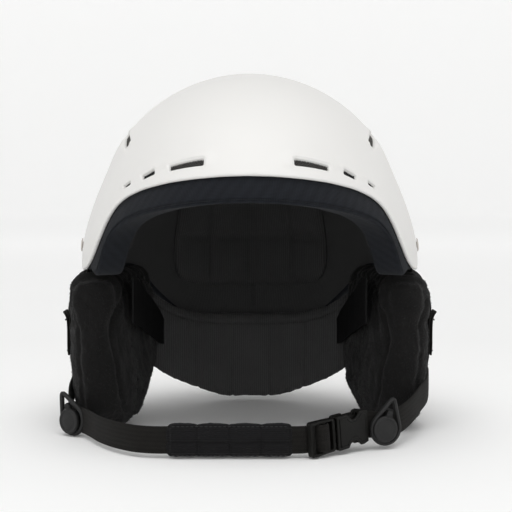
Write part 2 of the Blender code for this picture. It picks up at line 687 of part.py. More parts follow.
def buckle():
    h = BUCKLE_H / 2
    bm = block(bmesh.new(), (0.0218, 2 * h, 0.0040), BUCKLE @ Matrix.Translation((0.0111, 0, 0)), 0.0008)
    plug = finish(bm, "buckle_plug", PLASTIC, smooth=False)
    tools = bmesh.new()
    for x0, x1 in ((0.0049, 0.0106), (0.0132, 0.0189)):
        block(tools, (x1 - x0, 0.0172, 0.012), BUCKLE @ Matrix.Translation(((x0 + x1) / 2, 0, 0)))
    for up in (-1, 1):
        block(tools, (0.0040, 0.0034, 0.010), BUCKLE @ Matrix.Translation((0.0010, up * 0.0066, 0)))
    cut(plug, cutter(tools, "windows_and_roots"))
    tongue = block(bmesh.new(), (0.0170, 0.0046, 0.0024), BUCKLE @ Matrix.Translation((-0.0070, 0, 0)), 0.0004)
    cut(plug, cutter(tongue, "plug_tongue"), "UNION")

    for up, tag in ((1, "upper"), (-1, "lower")):
        m = BUCKLE @ Matrix.Diagonal((1, up, 1, 1))
        arm = [(0.0026, 0.0054), (0.0026, 0.0078), (-0.0060, 0.0078), (TAB[0], PRONG_OUT), (TAB[1], PRONG_OUT),
               (-0.0158, 0.0066), (-0.0146, 0.0058), (-0.0060, 0.0058)]  # fmt: skip
        bm = prism(bmesh.new(), arm, -0.0012, 0.0012, m)
        finish(bm, f"buckle_prong_{tag}", PLASTIC, smooth=False, pivot=buckle_point(0.0012, 0, up * 0.0066))

    bm = bmesh.new()
    waist = [(-0.0002, h), (-0.0040, h), (-0.0062, h - 0.0006), (-0.0150, h - 0.0006), (-0.0175, h),
             (-0.0225, h - 0.0010)]  # fmt: skip
    outline = waist + [(x, -y) for x, y in reversed(waist)]
    prism(bm, outline, -0.0036, 0.0036, BUCKLE)
    socket = finish(bm, "buckle_socket", PLASTIC, smooth=False)
    tools = bmesh.new()
    block(tools, (0.0180, 0.0184, 0.0038), BUCKLE @ Matrix.Translation((-0.0075, 0, 0)))
    cut(socket, cutter(tools, "socket_cavity"))
    tools = bmesh.new()
    block(tools, (0.0095, 0.030, 0.0036), BUCKLE @ Matrix.Translation(((TAB[0] + TAB[1]) / 2, 0, 0)))
    cut(socket, cutter(tools, "tab_windows"))
    tools = bmesh.new()
    block(tools, (0.0060, 0.0180, 0.0024), BUCKLE @ Matrix.Translation((-0.0215, 0, 0)))
    cut(socket, cutter(tools, "strap_slot"))


# ---------------------------------------------------------------- fit system


def fit_bands():
    """Each band runs from the temple round inside the ear pad to its rack in the dial's housing."""
    plan = ((0.0735, -0.0500, 0.0850, 0.0150), (0.0728, -0.0350, 0.0825, 0.0150), (0.0716, -0.0180, 0.0790, 0.0145),
            (0.0700, 0.0000, 0.0735, 0.0140), (0.0672, 0.0220, 0.0670, 0.0130), (0.0634, 0.0430, 0.0585, 0.0115),
            (0.0612, 0.0600, 0.0525, 0.0085), (0.0570, 0.0805, 0.0480, 0.0065), (0.0500, 0.0945, 0.0420, 0.0040),
            (0.0440, 0.1020, 0.0, 0.0020), (0.0395, 0.1040, 0.0, 0.0012), (0.0200, 0.1040, 0.0, 0.0012),
            (-0.0080, 0.1040, 0.0, 0.0012))  # fmt: skip
    n = len(plan) - 1
    for side, tag, rack in ((-1, "l", 0.0386), (1, "r", 0.0274)):
        def place(u, v, d, side=side, rack=rack):
            i = round(u * n)
            p = Vector(plan[max(i - 1, 0)][:2]) if i else Vector(plan[0][:2])
            q = Vector(plan[min(i + 1, n)][:2])
            way = (q - p).normalized()
            x, y, z, half = plan[i]
            z = z or rack
            k = (d - 0.5) * 0.0012
            return Vector((side * (x + way.y * k), y - way.x * k, z + (2 * v - 1) * half))

        slab(f"fit_band_{tag}", n, 2, place, BAND, pivot=(0, 0.104, rack))


def fit_dial():
    x, z = DIAL_AXIS.x, DIAL_AXIS.z
    bm = block(bmesh.new(), (0.064, 0.0072, 0.0210), Matrix.Translation((x, 0.1033, z)), 0.0012)
    housing = finish(bm, "fit_housing", BAND, smooth=False)
    tool = block(bmesh.new(), (0.080, 0.0062, 0.0150), Matrix.Translation((x, 0.1050, z)))
    cut(housing, cutter(tool, "rack_channel"))
    bm = block(bmesh.new(), (0.064, 0.0016, 0.0210), Matrix.Translation((x, 0.1080, z)))
    cover = finish(bm, "fit_housing_cover", BAND, smooth=False)
    y_axis = frame_matrix((x, 0, z), (0, 0, 1), (1, 0, 0), (0, 1, 0))
    tool = rod(bmesh.new(), 0.0026, (x, 0.100, z), (x, 0.112, z))
    cut(cover, cutter(tool, "shaft_hole"))
    shaft = [(0, 0.1026), (PINION_R - 0.0002, 0.1026), (PINION_R - 0.0002, 0.1056), (0.0022, 0.1056),
             (0.0022, 0.1140), (0, 0.1140)]  # fmt: skip
    finish(lathe(bmesh.new(), shaft, y_axis, 20), "fit_pinion", BAND, pivot=DIAL_AXIS)
    knob = [(0.00245, 0.1092), (0.0086, 0.1092), (0.0094, 0.1100), (0.0094, 0.1148), (0.0084, 0.1158),
            (0.0034, 0.1158), (0.0034, 0.1144), (0.00245, 0.1144)]  # fmt: skip
    dial = finish(lathe(bmesh.new(), knob, y_axis, 36), "fit_dial", LOCK, pivot=DIAL_AXIS)
    tools = bmesh.new()
    for k in range(12):
        t = 2 * pi * k / 12
        c = Vector((x + 0.0099 * cos(t), 0, z + 0.0099 * sin(t)))
        rod(tools, 0.0011, c + Vector((0, 0.1085, 0)), c + Vector((0, 0.1170, 0)), 8)
    cut(dial, cutter(tools, "dial_grip"))
    screw = [(0, 0.1146), (0.0030, 0.1146), (0.0030, 0.1152), (0.0022, 0.1157), (0, 0.1157)]
    finish(lathe(bmesh.new(), screw, y_axis, 16), "fit_dial_screw", STEEL, pivot=DIAL_AXIS)


# ---------------------------------------------------------------- goggle strap clip


def goggle_clip():
    y = REAR + GAP
    bm = block(bmesh.new(), (0.026, 0.0016, 0.030), Matrix.Translation((0, y + 0.0008, 0.1005)), 0.0006)
    base = finish(bm, "goggle_clip_base", LOCK, smooth=False)
    tools = bmesh.new()
    for side in (-1, 1):
        block(tools, (0.0030, 0.0037, 0.0040), Matrix.Translation((side * 0.0095, y + 0.00305, 0.1135)))
    cut(base, cutter(tools, "clip_ears"), "UNION")
    pin_y, pin_z, knuckle = y + 0.0034, 0.1135, 0.0014
    tool = rod(bmesh.new(), 0.00085, (-0.012, pin_y, pin_z), (0.012, pin_y, pin_z), 12)
    cut(base, cutter(tool, "clip_pin_holes"))
    finish(rod(bmesh.new(), 0.0007, (-0.0110, pin_y, pin_z), (0.0110, pin_y, pin_z), 12), "goggle_clip_pin", STEEL)
    turns = [radians(t) for t in (110, 70, 35, 0, -35, -70, -110)]
    side_view = [(pin_z + knuckle * cos(t), knuckle * sin(t)) for t in turns]
    side_view += [(0.1110, -0.0003), (0.0905, -0.0004), (0.0870, -0.0010), (0.0870, 0.0002), (0.0900, 0.0010)]
    m = frame_matrix((0, pin_y, 0), (0, 0, 1), (0, 1, 0), (-1, 0, 0))
    bm = prism(bmesh.new(), side_view, -0.0076, 0.0076, m)
    clip = finish(bm, "goggle_clip", LOCK, smooth=False, pivot=(0, pin_y, pin_z))
    tool = rod(bmesh.new(), 0.0009, (-0.010, pin_y, pin_z), (0.010, pin_y, pin_z), 12)
    cut(clip, cutter(tool, "clip_bore"))


def main():
    for ob in list(bpy.data.objects):
        bpy.data.objects.remove(ob, do_unlink=True)
    for collection in (PARTS, CUTTERS):
        bpy.context.scene.collection.children.link(collection)
    shell_and_vents()
    foam_liner()
    comfort_pads()
    ear_pads()
    nape_pad()
    side_straps()
    strap_locks()
    chin_strap()
    chin_pad()
    buckle()
    fit_bands()
    fit_dial()
    goggle_clip()


main()
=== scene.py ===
"""Ski helmet: the visual model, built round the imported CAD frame. Metres, brow towards -Y, crown up."""

from math import acos, atan2, cos, degrees, hypot, pi, radians, sin, sqrt

import bmesh
import bpy
import numpy as np
from mathutils import Matrix, Vector


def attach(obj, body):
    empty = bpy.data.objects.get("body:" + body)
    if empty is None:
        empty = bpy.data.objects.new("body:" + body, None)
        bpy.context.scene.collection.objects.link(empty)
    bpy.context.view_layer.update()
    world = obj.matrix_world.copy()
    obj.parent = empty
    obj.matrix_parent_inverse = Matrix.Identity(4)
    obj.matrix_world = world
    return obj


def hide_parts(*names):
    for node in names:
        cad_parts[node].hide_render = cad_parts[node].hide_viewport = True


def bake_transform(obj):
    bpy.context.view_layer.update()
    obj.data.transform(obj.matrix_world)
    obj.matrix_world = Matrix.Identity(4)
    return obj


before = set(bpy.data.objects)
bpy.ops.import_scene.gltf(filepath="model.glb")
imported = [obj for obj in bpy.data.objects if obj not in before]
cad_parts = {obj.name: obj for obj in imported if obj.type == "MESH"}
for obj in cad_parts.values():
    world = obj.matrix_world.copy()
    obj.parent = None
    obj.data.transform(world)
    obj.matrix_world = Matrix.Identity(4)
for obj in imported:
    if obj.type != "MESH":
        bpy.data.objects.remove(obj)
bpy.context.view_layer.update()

# ---------------------------------------------------------------- node materials


class Nodes:
    """A Principled material and short ways to add procedural detail to it."""

    def __init__(self, name, colour, rough, metal=0.0, sheen=0.0, coat=0.0, specular=0.5):
        self.mat = bpy.data.materials.new(name)
        self.mat.use_nodes = True
        self.tree = self.mat.node_tree
        self.bsdf = self.tree.nodes["Principled BSDF"]
        self.set("Base Color", (*colour, 1.0))
        self.set("Roughness", rough)
        self.set("Metallic", metal)
        self.set("Specular IOR Level", specular)
        if sheen:
            self.set("Sheen Weight", sheen)
            self.set("Sheen Roughness", 0.45)
        if coat:
            self.set("Coat Weight", coat)
            self.set("Coat Roughness", 0.25)
        self.mat.diffuse_color = (*colour, 1.0)
        self.colour = colour
        self.normal = None

    def set(self, socket, value):
        self.bsdf.inputs[socket].default_value = value

    def add(self, kind, **inputs):
        node = self.tree.nodes.new(kind)
        for key, value in inputs.items():
            node.inputs[key.replace("_", " ")].default_value = value
        return node

    def link(self, a, b):
        self.tree.links.new(a, b)

    def coords(self, kind="Object", scale=(1, 1, 1)):
        source = self.tree.nodes.new("ShaderNodeTexCoord")
        mapping = self.tree.nodes.new("ShaderNodeMapping")
        mapping.inputs["Scale"].default_value = scale
        self.link(source.outputs[kind], mapping.inputs["Vector"])
        return mapping.outputs["Vector"]

    def noise(self, vector, scale, detail=3.0, rough=0.6):
        node = self.add("ShaderNodeTexNoise", Scale=scale, Detail=detail, Roughness=rough)
        self.link(vector, node.inputs["Vector"])
        return node.outputs["Fac"]

    def voronoi(self, vector, scale, feature="F1"):
        node = self.add("ShaderNodeTexVoronoi", Scale=scale)
        node.feature = feature
        self.link(vector, node.inputs["Vector"])
        return node.outputs["Distance"]

    def math(self, operation, a, b=None, c=None):
        node = self.tree.nodes.new("ShaderNodeMath")
        node.operation = operation
        for socket, value in zip(node.inputs, (a, b, c)):
            if value is None:
                continue
            if isinstance(value, (int, float)):
                socket.default_value = value
            else:
                self.link(value, socket)
        return node.outputs[0]

    def axes(self, vector):
        node = self.tree.nodes.new("ShaderNodeSeparateXYZ")
        self.link(vector, node.inputs[0])
        return node.outputs["X"], node.outputs["Y"], node.outputs["Z"]

    def wave(self, value, pitch, shift=0.0):
        """A sine of the value over the pitch in metres, from 0 to 1."""
        turn = self.math("MULTIPLY_ADD", value, 2 * pi / pitch, shift)
        return self.math("MULTIPLY_ADD", self.math("SINE", turn), 0.5, 0.5)

    def spread(self, value, low, high, out_low=0.0, out_high=1.0):
        node = self.tree.nodes.new("ShaderNodeMapRange")
        for socket, number in zip(("From Min", "From Max", "To Min", "To Max"), (low, high, out_low, out_high)):
            node.inputs[socket].default_value = number
        self.link(value, node.inputs["Value"])
        return node.outputs["Result"]

    def tint(self, factor, dark, light):
        """Base colour between dark and light times the main colour."""
        node = self.tree.nodes.new("ShaderNodeMix")
        node.data_type = "RGBA"
        node.inputs["A"].default_value = (*[c * dark for c in self.colour], 1)
        node.inputs["B"].default_value = (*[c * light for c in self.colour], 1)
        self.link(factor, node.inputs["Factor"])
        self.link(node.outputs["Result"], self.bsdf.inputs["Base Color"])

    def rough(self, factor, low, high):
        self.link(self.spread(factor, 0, 1, low, high), self.bsdf.inputs["Roughness"])

    def bump(self, height, distance, strength=1.0):
        node = self.add("ShaderNodeBump", Strength=strength, Distance=distance)
        self.link(height, node.inputs["Height"])
        if self.normal is not None:
            self.link(self.normal, node.inputs["Normal"])
        self.normal = node.outputs["Normal"]
        self.link(self.normal, self.bsdf.inputs["Normal"])


def shell_paint():
    m = Nodes("shell_paint", (0.735, 0.727, 0.710), 0.48, specular=0.30)
    at = m.coords()
    m.tint(m.noise(at, 14, 2), 0.985, 1.01)
    m.rough(m.noise(at, 60, 3), 0.40, 0.50)
    m.bump(m.noise(at, 2600, 2), 0.00005, 0.5)
    m.bump(m.noise(at, 160, 2), 0.00012, 0.35)
    return m.mat


# Near-black for the closed floor of each vent recess: the dark liner seen through a slot, plus painted shade in the
# hole.
def vent_liner_and_painted_shade():
    m = Nodes("vent_liner_and_painted_shade", (0.010, 0.010, 0.011), 0.85, specular=0.2)
    m.bump(m.voronoi(m.coords(), 420), 0.0002, 0.6)
    return m.mat


def net_cord():
    m = Nodes("net_cord", (0.070, 0.067, 0.062), 0.6, specular=0.3)
    at = m.coords()
    m.tint(m.noise(at, 900), 0.6, 1.5)
    m.bump(m.noise(at, 3000), 0.00006, 0.6)
    return m.mat


def liner_knit():
    """Fine bluish knit laid on the foam: loops about a millimetre apart."""
    m = Nodes("liner_knit", (0.0120, 0.0135, 0.0170), 0.95, sheen=0.05, specular=0.12)
    u, v, _ = m.axes(m.coords("UV"))
    loops = m.math("MULTIPLY", m.wave(u, 0.00095), m.wave(v, 0.00080))
    slant = m.wave(m.math("ADD", u, m.math("MULTIPLY", v, 0.7)), 0.0076)
    cloud = m.noise(m.coords(), 55, 3)
    uneven = m.math("MULTIPLY", m.math("ADD", slant, cloud), 0.28)
    m.tint(m.math("ADD", m.math("MULTIPLY", loops, 0.45), uneven), 0.62, 1.45)
    m.bump(loops, 0.00022, 0.8)
    m.bump(m.noise(m.coords(), 700), 0.0001, 0.4)
    return m.mat


def fleece(name, colour, pitch, along="X"):
    """Brushed lining with fine ribs that run up the pad."""
    m = Nodes(name, colour, 0.95, sheen=0.06, specular=0.12)
    u, v, _ = m.axes(m.coords("UV"))
    ribs = m.wave(u if along == "X" else v, pitch)
    fuzz = m.noise(m.coords(), 1300, 4, 0.75)
    cloud = m.noise(m.coords(), 38, 3)
    m.tint(m.math("MULTIPLY_ADD", ribs, 0.4, m.math("MULTIPLY", m.math("ADD", fuzz, cloud), 0.32)), 0.62, 1.5)
    m.bump(ribs, 0.00030, 0.7)
    m.bump(fuzz, 0.00030, 0.7)
    return m.mat


def plush(name, low, high):
    m = Nodes(name, (0.0105, 0.0102, 0.0101), 1.0, sheen=0.10, specular=0.10)
    at = m.coords()
    pile = m.noise(at, 520, 5, 0.8)
    swirl = m.noise(at, 60, 3, 0.6)
    m.tint(m.math("MULTIPLY_ADD", pile, 0.6, m.math("MULTIPLY", swirl, 0.45)), low, high)
    m.bump(swirl, 0.0020, 0.5)
    m.bump(pile, 0.0010, 0.8)
    return m.mat


def webbing():
    """Herringbone webbing: ribs along it with slanted picks that change hand at each rib."""
    m = Nodes("webbing_weave", (0.0092, 0.0086, 0.0078), 0.85, sheen=0.02, specular=0.12)
    u, v, _ = m.axes(m.coords("UV"))
    rib = m.wave(v, 0.0026)
    lean = m.math("PINGPONG", v, 0.0013)
    pick = m.wave(m.math("MULTIPLY_ADD", lean, 1.2, u), 0.00115)
    weave = m.math("MULTIPLY_ADD", pick, 0.65, m.math("MULTIPLY", rib, 0.35))
    cloud = m.noise(m.coords(), 240, 3)
    m.tint(m.math("MULTIPLY_ADD", weave, 0.7, m.math("MULTIPLY", cloud, 0.35)), 0.50, 1.75)
    m.bump(weave, 0.00024, 0.9)
    return m.mat


def moulded(name, colour, rough, grain=2300, specular=0.5):
    """Satin moulded plastic with a spark-eroded grain and faint handling marks."""
    m = Nodes(name, colour, rough, specular=specular)
    at = m.coords()
    m.tint(m.noise(at, 120, 3), 0.86, 1.16)
    m.rough(m.noise(at, 300, 3), rough - 0.07, rough + 0.08)
    m.bump(m.noise(at, grain, 2), 0.00008, 0.6)
    m.bump(m.noise(at, 90, 2), 0.00015, 0.25)
    return m.mat


def steel():
    m = Nodes("pin_steel", (0.56, 0.56, 0.57), 0.32, metal=1.0)
    at = m.coords(scale=(1, 1, 0.05))
    m.rough(m.noise(at, 4000, 2), 0.22, 0.42)
    m.bump(m.noise(at, 4000, 2), 0.00003, 0.4)
    return m.mat


PAINT, VENT_LINER_AND_SHADE, NET = shell_paint(), vent_liner_and_painted_shade(), net_cord()
KNIT = liner_knit()
RIB = fleece("rib_fleece", (0.0520, 0.0518, 0.0520), 0.0015)
CHIN = fleece("chin_fleece", (0.0088, 0.0086, 0.0092), 0.0011)
PLUSH, PILE = plush("plush_backing", 0.45, 1.5), plush("plush_pile", 0.55, 1.9)
WEB = webbing()
BUCKLE_PLASTIC = moulded("buckle_satin", (0.0056, 0.0054, 0.0047), 0.42, specular=0.15)
LOCK_PLASTIC = moulded("lock_satin", (0.0150, 0.0150, 0.0150), 0.50, specular=0.25)
BAND_PLASTIC = moulded("band_satin", (0.0080, 0.0080, 0.0082), 0.75, specular=0.05)
RIVET = moulded("rivet_paint", (0.50, 0.46, 0.43), 0.45, 1500)
STEEL = steel()

# ---------------------------------------------------------------- meshes


def mesh_object(name, points, faces, mats, uv=None, index=None, smooth=True):
    mesh = bpy.data.meshes.new(name)
    mesh.from_pydata([tuple(map(float, p)) for p in points], [], [tuple(map(int, f)) for f in faces])
    for mat in mats if isinstance(mats, (list, tuple)) else [mats]:
        mesh.materials.append(mat)
    if index is not None:
        mesh.polygons.foreach_set("material_index", np.asarray(index, np.int32))
    if uv is not None:
        layer = mesh.uv_layers.new(name="UVMap")
        loops = np.zeros(len(mesh.loops), np.int32)
        mesh.loops.foreach_get("vertex_index", loops)
        layer.data.foreach_set("uv", np.asarray(uv, np.float32)[loops].ravel())
    mesh.polygons.foreach_set("use_smooth", [smooth] * len(mesh.polygons))
    mesh.validate()
    mesh.update()
    ob = bpy.data.objects.new(name, mesh)
    bpy.context.scene.collection.objects.link(ob)
    return ob


def from_bmesh(bm, name, mats, smooth=True):
    bmesh.ops.recalc_face_normals(bm, faces=bm.faces)
    mesh = bpy.data.meshes.new(name)
    bm.to_mesh(mesh)
    bm.free()
    for mat in mats if isinstance(mats, (list, tuple)) else [mats]:
        mesh.materials.append(mat)
    mesh.polygons.foreach_set("use_smooth", [smooth] * len(mesh.polygons))
    ob = bpy.data.objects.new(name, mesh)
    bpy.context.scene.collection.objects.link(ob)
    return ob


def apply_modifiers(ob):
    graph = bpy.context.evaluated_depsgraph_get()
    mesh = bpy.data.meshes.new_from_object(ob.evaluated_get(graph), depsgraph=graph)
    old = ob.data
    ob.modifiers.clear()
    ob.data = mesh
    mesh.name = ob.name
    bpy.data.meshes.remove(old)
    return ob


def get_points(ob):
    co = np.empty(len(ob.data.vertices) * 3)
    ob.data.vertices.foreach_get("co", co)
    return co.reshape(-1, 3)


def set_points(ob, co):
    ob.data.vertices.foreach_set("co", np.ascontiguousarray(co, np.float64).ravel())
    ob.data.update()


def normals(ob):
    ob.data.update()
    n = np.empty(len(ob.data.vertices) * 3, np.float32)
    ob.data.vertices.foreach_get("normal", n)
    return n.reshape(-1, 3).astype(float)


def cloud(co, size, seed=0.0, octaves=3):
    """Smooth repeatable noise in about -1 to 1 at points, made of sines."""
    total, weight = np.zeros(len(co)), 0.0
    for k in range(octaves):
        s, gain = size / 2**k, 0.55**k
        for j in range(3):
            t = seed + 1.7 * j + 3.1 * k
            d = np.array([sin(t * 12.9), sin(t * 7.3 + 1), sin(t * 4.1 + 2)])
            d /= np.linalg.norm(d)
            e = np.array([sin(t * 5.1 + 4), sin(t * 9.7 + 3), sin(t * 2.3)])
            total += gain * np.sin(co @ d * (2 * pi / s) + 2.0 * np.sin(co @ e * (2 * pi / (1.7 * s)) + t * 3))
            weight += gain
    return total / weight * 1.4


def smooth01(x):
    x = np.clip(x, 0, 1)
    return x * x * (3 - 2 * x)


def ring_sheet(rows, cols, close_cols=True):
    """Quads between successive rows of cols points each."""
    faces = []
    span = cols if close_cols else cols - 1
    for r in range(rows - 1):
        a = r * cols
        for c in range(span):
            d = (c + 1) % cols
            faces.append((a + c, a + d, a + cols + d, a + cols + c))
    return faces


def frame_matrix(origin, x, y, z):
    m = Matrix.Identity(4)
    for i, axis in enumerate((x, y, z)):
        m.col[i][:3] = Vector(axis).normalized()
    m.translation = Vector(origin)
    return m


def smooth_line(points, per=6):
    pts = [Vector(p) for p in points]
    ends = [pts[0] * 2 - pts[1], *pts, pts[-1] * 2 - pts[-2]]
    line = []
    for a, b, c, d in zip(ends, ends[1:], ends[2:], ends[3:]):
        for k in range(per):
            t = k / per
            line.append(0.5 * (2 * b + (c - a) * t + (2 * a - 5 * b + 4 * c - d) * t**2 + (3 * b - a - 3 * c + d) * t**3))
    return [*line, pts[-1]]


def strap_sheet(name, rows, thick, mat=None):
    """Webbing with rounded edges round a grid of mid-surface points: rows along it, columns across it."""
    rows = np.asarray(rows, float)
    n, m = rows.shape[:2]
    du, dv = np.gradient(rows, axis=0), np.gradient(rows, axis=1)
    out = np.cross(du, dv)
    out /= np.linalg.norm(out, axis=2, keepdims=True)
    half = np.full(m, thick / 2)
    half[0] = half[-1] = thick * 0.20
    half[1] = half[-2] = thick * 0.44
    top, low = rows + out * half[None, :, None], rows - out * half[None, :, None]
    run = np.concatenate([[0], np.cumsum(np.linalg.norm(np.diff(rows[:, m // 2], axis=0), axis=1))])
    width = np.concatenate([[0], np.cumsum(np.linalg.norm(np.diff(rows[0], axis=0), axis=1))])
    uv = np.stack(np.broadcast_arrays(run[:, None], width[None, :]), axis=2)
    ring = np.concatenate([top, low[:, ::-1]], axis=1)
    ring_uv = np.concatenate([uv, uv[:, ::-1]], axis=1)
    points, uvs = ring.reshape(-1, 3), ring_uv.reshape(-1, 2)
    faces = ring_sheet(n, 2 * m)
    for base, turn in ((0, 1), ((n - 1) * 2 * m, -1)):
        cap = [(base + k, base + k + 1, base + 2 * m - 2 - k, base + 2 * m - 1 - k) for k in range(m - 1)]
        faces += [f[::turn] for f in cap]
    ob = mesh_object(name, points, faces, mat or WEB, uv=uvs)
    bm = bmesh.new()
    bm.from_mesh(ob.data)
    bmesh.ops.recalc_face_normals(bm, faces=bm.faces)
    bm.to_mesh(ob.data)
    bm.free()
    return ob


def flat_ribbon(name, line, width=0.016, thick=0.0015, across=(0, 0, 1), columns=9, mat=None):
    """Webbing along a line; across is its width's direction, one vector or one for each point."""
    line = np.asarray([tuple(p) for p in line])
    across = np.broadcast_to(np.asarray(across, float), line.shape)
    way = np.gradient(line, axis=0)
    across = across - way * (np.sum(across * way, axis=1) / np.sum(way * way, axis=1))[:, None]
    across = across / np.linalg.norm(across, axis=1, keepdims=True)
    v = np.linspace(-0.5, 0.5, columns)
    v[1], v[-2] = -0.5 + 0.4 * thick / width, 0.5 - 0.4 * thick / width
    return strap_sheet(name, line[:, None] + across[:, None] * (v * width)[None, :, None], thick, mat)


def plate(name, outline, holes, thick, matrix, mat, bevel=0.0004, segments=3):
    """A flat plate with holes and rounded edges, its middle on the matrix's plane."""
    curve = bpy.data.curves.new(name, "CURVE")
    curve.dimensions = "2D"
    curve.fill_mode = "BOTH"
    inset = bevel
    for shape, grow in [(outline, -inset)] + [(h, inset) for h in holes]:
        shape = offset(shape, grow)
        spline = curve.splines.new("POLY")
        spline.points.add(len(shape) - 1)
        for point, (x, y) in zip(spline.points, shape):
            point.co = (x, y, 0, 1)
        spline.use_cyclic_u = True
    curve.extrude = thick / 2 - bevel
    curve.bevel_depth = bevel
    curve.bevel_resolution = segments
    holder = bpy.data.objects.new(name, curve)
    bpy.context.scene.collection.objects.link(holder)
    bpy.context.view_layer.update()
    graph = bpy.context.evaluated_depsgraph_get()
    mesh = bpy.data.meshes.new_from_object(holder.evaluated_get(graph), depsgraph=graph)
    bpy.data.objects.remove(holder)
    bpy.data.curves.remove(curve)
    bm = bmesh.new()
    bm.from_mesh(mesh)
    bpy.data.meshes.remove(mesh)
    bmesh.ops.remove_doubles(bm, verts=bm.verts, dist=1e-6)
    bmesh.ops.transform(bm, matrix=matrix, verts=bm.verts)
    ob = from_bmesh(bm, name, mat, smooth=False)
    shade_by_angle(ob)
    return ob


def shade_by_angle(ob, limit=35):
    ob.data.polygons.foreach_set("use_smooth", [True] * len(ob.data.polygons))
    bm = bmesh.new()
    bm.from_mesh(ob.data)
    for edge in bm.edges:
        if len(edge.link_faces) == 2:
            edge.smooth = edge.calc_face_angle(0) < radians(limit)
    bm.to_mesh(ob.data)
    bm.free()


def offset(shape, by):
    """A closed outline moved outwards by a distance, corner by corner."""
    pts = np.asarray(shape, float)
    area = 0.5 * np.sum(pts[:, 0] * np.roll(pts[:, 1], -1) - np.roll(pts[:, 0], -1) * pts[:, 1])
    if area < 0:
        pts = pts[::-1]
    before, after = pts - np.roll(pts, 1, axis=0), np.roll(pts, -1, axis=0) - pts
    n1 = np.stack([before[:, 1], -before[:, 0]], 1) / np.linalg.norm(before, axis=1)[:, None]
    n2 = np.stack([after[:, 1], -after[:, 0]], 1) / np.linalg.norm(after, axis=1)[:, None]
    mid = n1 + n2
    mid /= np.linalg.norm(mid, axis=1)[:, None]
    return pts + mid * (by / np.maximum(0.5, np.sum(mid * n1, axis=1)))[:, None]


def slab(x0, x1, y0, y1):
    """The corners of a rectangle."""
    return [(x0, y0), (x0, y1), (x1, y1), (x1, y0)]


def rounded(corners, radius, steps=5):
    """A closed outline with its corners rounded."""
    out = []
    n = len(corners)
    for i in range(n):
        a, b, c = (Vector(corners[k % n]) for k in (i - 1, i, i + 1))
        r = min(radius, (a - b).length * 0.45, (c - b).length * 0.45)
        p, q = b + (a - b).normalized() * r, b + (c - b).normalized() * r
        for k in range(steps + 1):
            t = k / steps
            out.append(tuple(p * (1 - t) ** 2 + b * 2 * t * (1 - t) + q * t**2))
    return out


def lathe(name, profile, matrix, mat, steps=48, limit=40):
    bm = bmesh.new()
    verts = [bm.verts.new((r, 0.0, h)) for r, h in profile]
    edges = [bm.edges.new(pair) for pair in zip(verts, verts[1:])]
    bmesh.ops.spin(bm, geom=verts + edges, cent=(0, 0, 0), axis=(0, 0, 1), angle=2 * pi, steps=steps, use_merge=True)
    bmesh.ops.remove_doubles(bm, verts=bm.verts, dist=1e-6)
    bmesh.ops.transform(bm, matrix=matrix, verts=bm.verts)
    ob = from_bmesh(bm, name, mat)
    shade_by_angle(ob, limit)
    return ob


def loop_tube(name, outline, across, through, matrix, mat, sides=12):
    """A closed ring along a flat outline, its section an oval."""
    pts = np.asarray(outline, float)
    way = np.roll(pts, -1, axis=0) - np.roll(pts, 1, axis=0)
    way /= np.linalg.norm(way, axis=1)[:, None]
    out = np.stack([way[:, 1], -way[:, 0]], 1)
    angle = np.linspace(0, 2 * pi, sides, endpoint=False)
    ring = []
    for p, o in zip(pts, out):
        for t in angle:
            x, y = p + o * across * cos(t)
            ring.append(matrix @ Vector((x, y, through * sin(t))))
    n = len(pts)
    faces = []
    for i in range(n):
        for k in range(sides):
            a, b = i * sides + k, i * sides + (k + 1) % sides
            c, d = ((i + 1) % n) * sides + (k + 1) % sides, ((i + 1) % n) * sides + k
            faces.append((a, b, c, d))
    ob = mesh_object(name, ring, faces, mat)
    fix_normals(ob)
    return ob


def fix_normals(ob):
    bm = bmesh.new()
    bm.from_mesh(ob.data)
    bmesh.ops.recalc_face_normals(bm, faces=bm.faces)
    bm.to_mesh(ob.data)
    bm.free()


def stitch_line(name, line, out, mat, length=0.0024, gap=0.0008, radius=0.00028):
    """Sewn stitches: short thread capsules that lie along a line, slightly sunk."""
    line = np.asarray([tuple(p) for p in line])
    out = np.broadcast_to(np.asarray(out, float), line.shape)
    run = np.concatenate([[0], np.cumsum(np.linalg.norm(np.diff(line, axis=0), axis=1))])
    at = lambda s: np.array([np.interp(s, run, line[:, k]) for k in range(3)])
    lift = lambda s: np.array([np.interp(s, run, out[:, k]) for k in range(3)])
    points, faces = [], []
    s = gap
    while s + length < run[-1]:
        ends = []
        for k, (t, r) in enumerate(((0, 0.15), (0.2, 0.9), (0.5, 1.0), (0.8, 0.9), (1, 0.15))):
            p, n = at(s + t * length), lift(s + t * length)
            n /= np.linalg.norm(n)
            way = at(min(run[-1], s + t * length + 1e-4)) - at(max(0, s + t * length - 1e-4))
            way /= np.linalg.norm(way)
            side = np.cross(way, n)
            p = p + n * radius * (0.9 - 1.3 * abs(2 * t - 1) ** 3)
            base = len(points)
            for j in range(6):
                c, w = cos(j * pi / 3), sin(j * pi / 3)
                points.append(p + (side * c + n * w) * radius * r)
            ends.append(base)
        for a, b in zip(ends, ends[1:]):
            faces += [(a + j, a + (j + 1) % 6, b + (j + 1) % 6, b + j) for j in range(6)]
        faces += [tuple(ends[0] + j for j in range(6))[::-1], tuple(ends[-1] + j for j in range(6))]
        s += length + gap
    ob = mesh_object(name, points, faces, mat)
    fix_normals(ob)
    return ob


# ---------------------------------------------------------------- the helmet's own surfaces

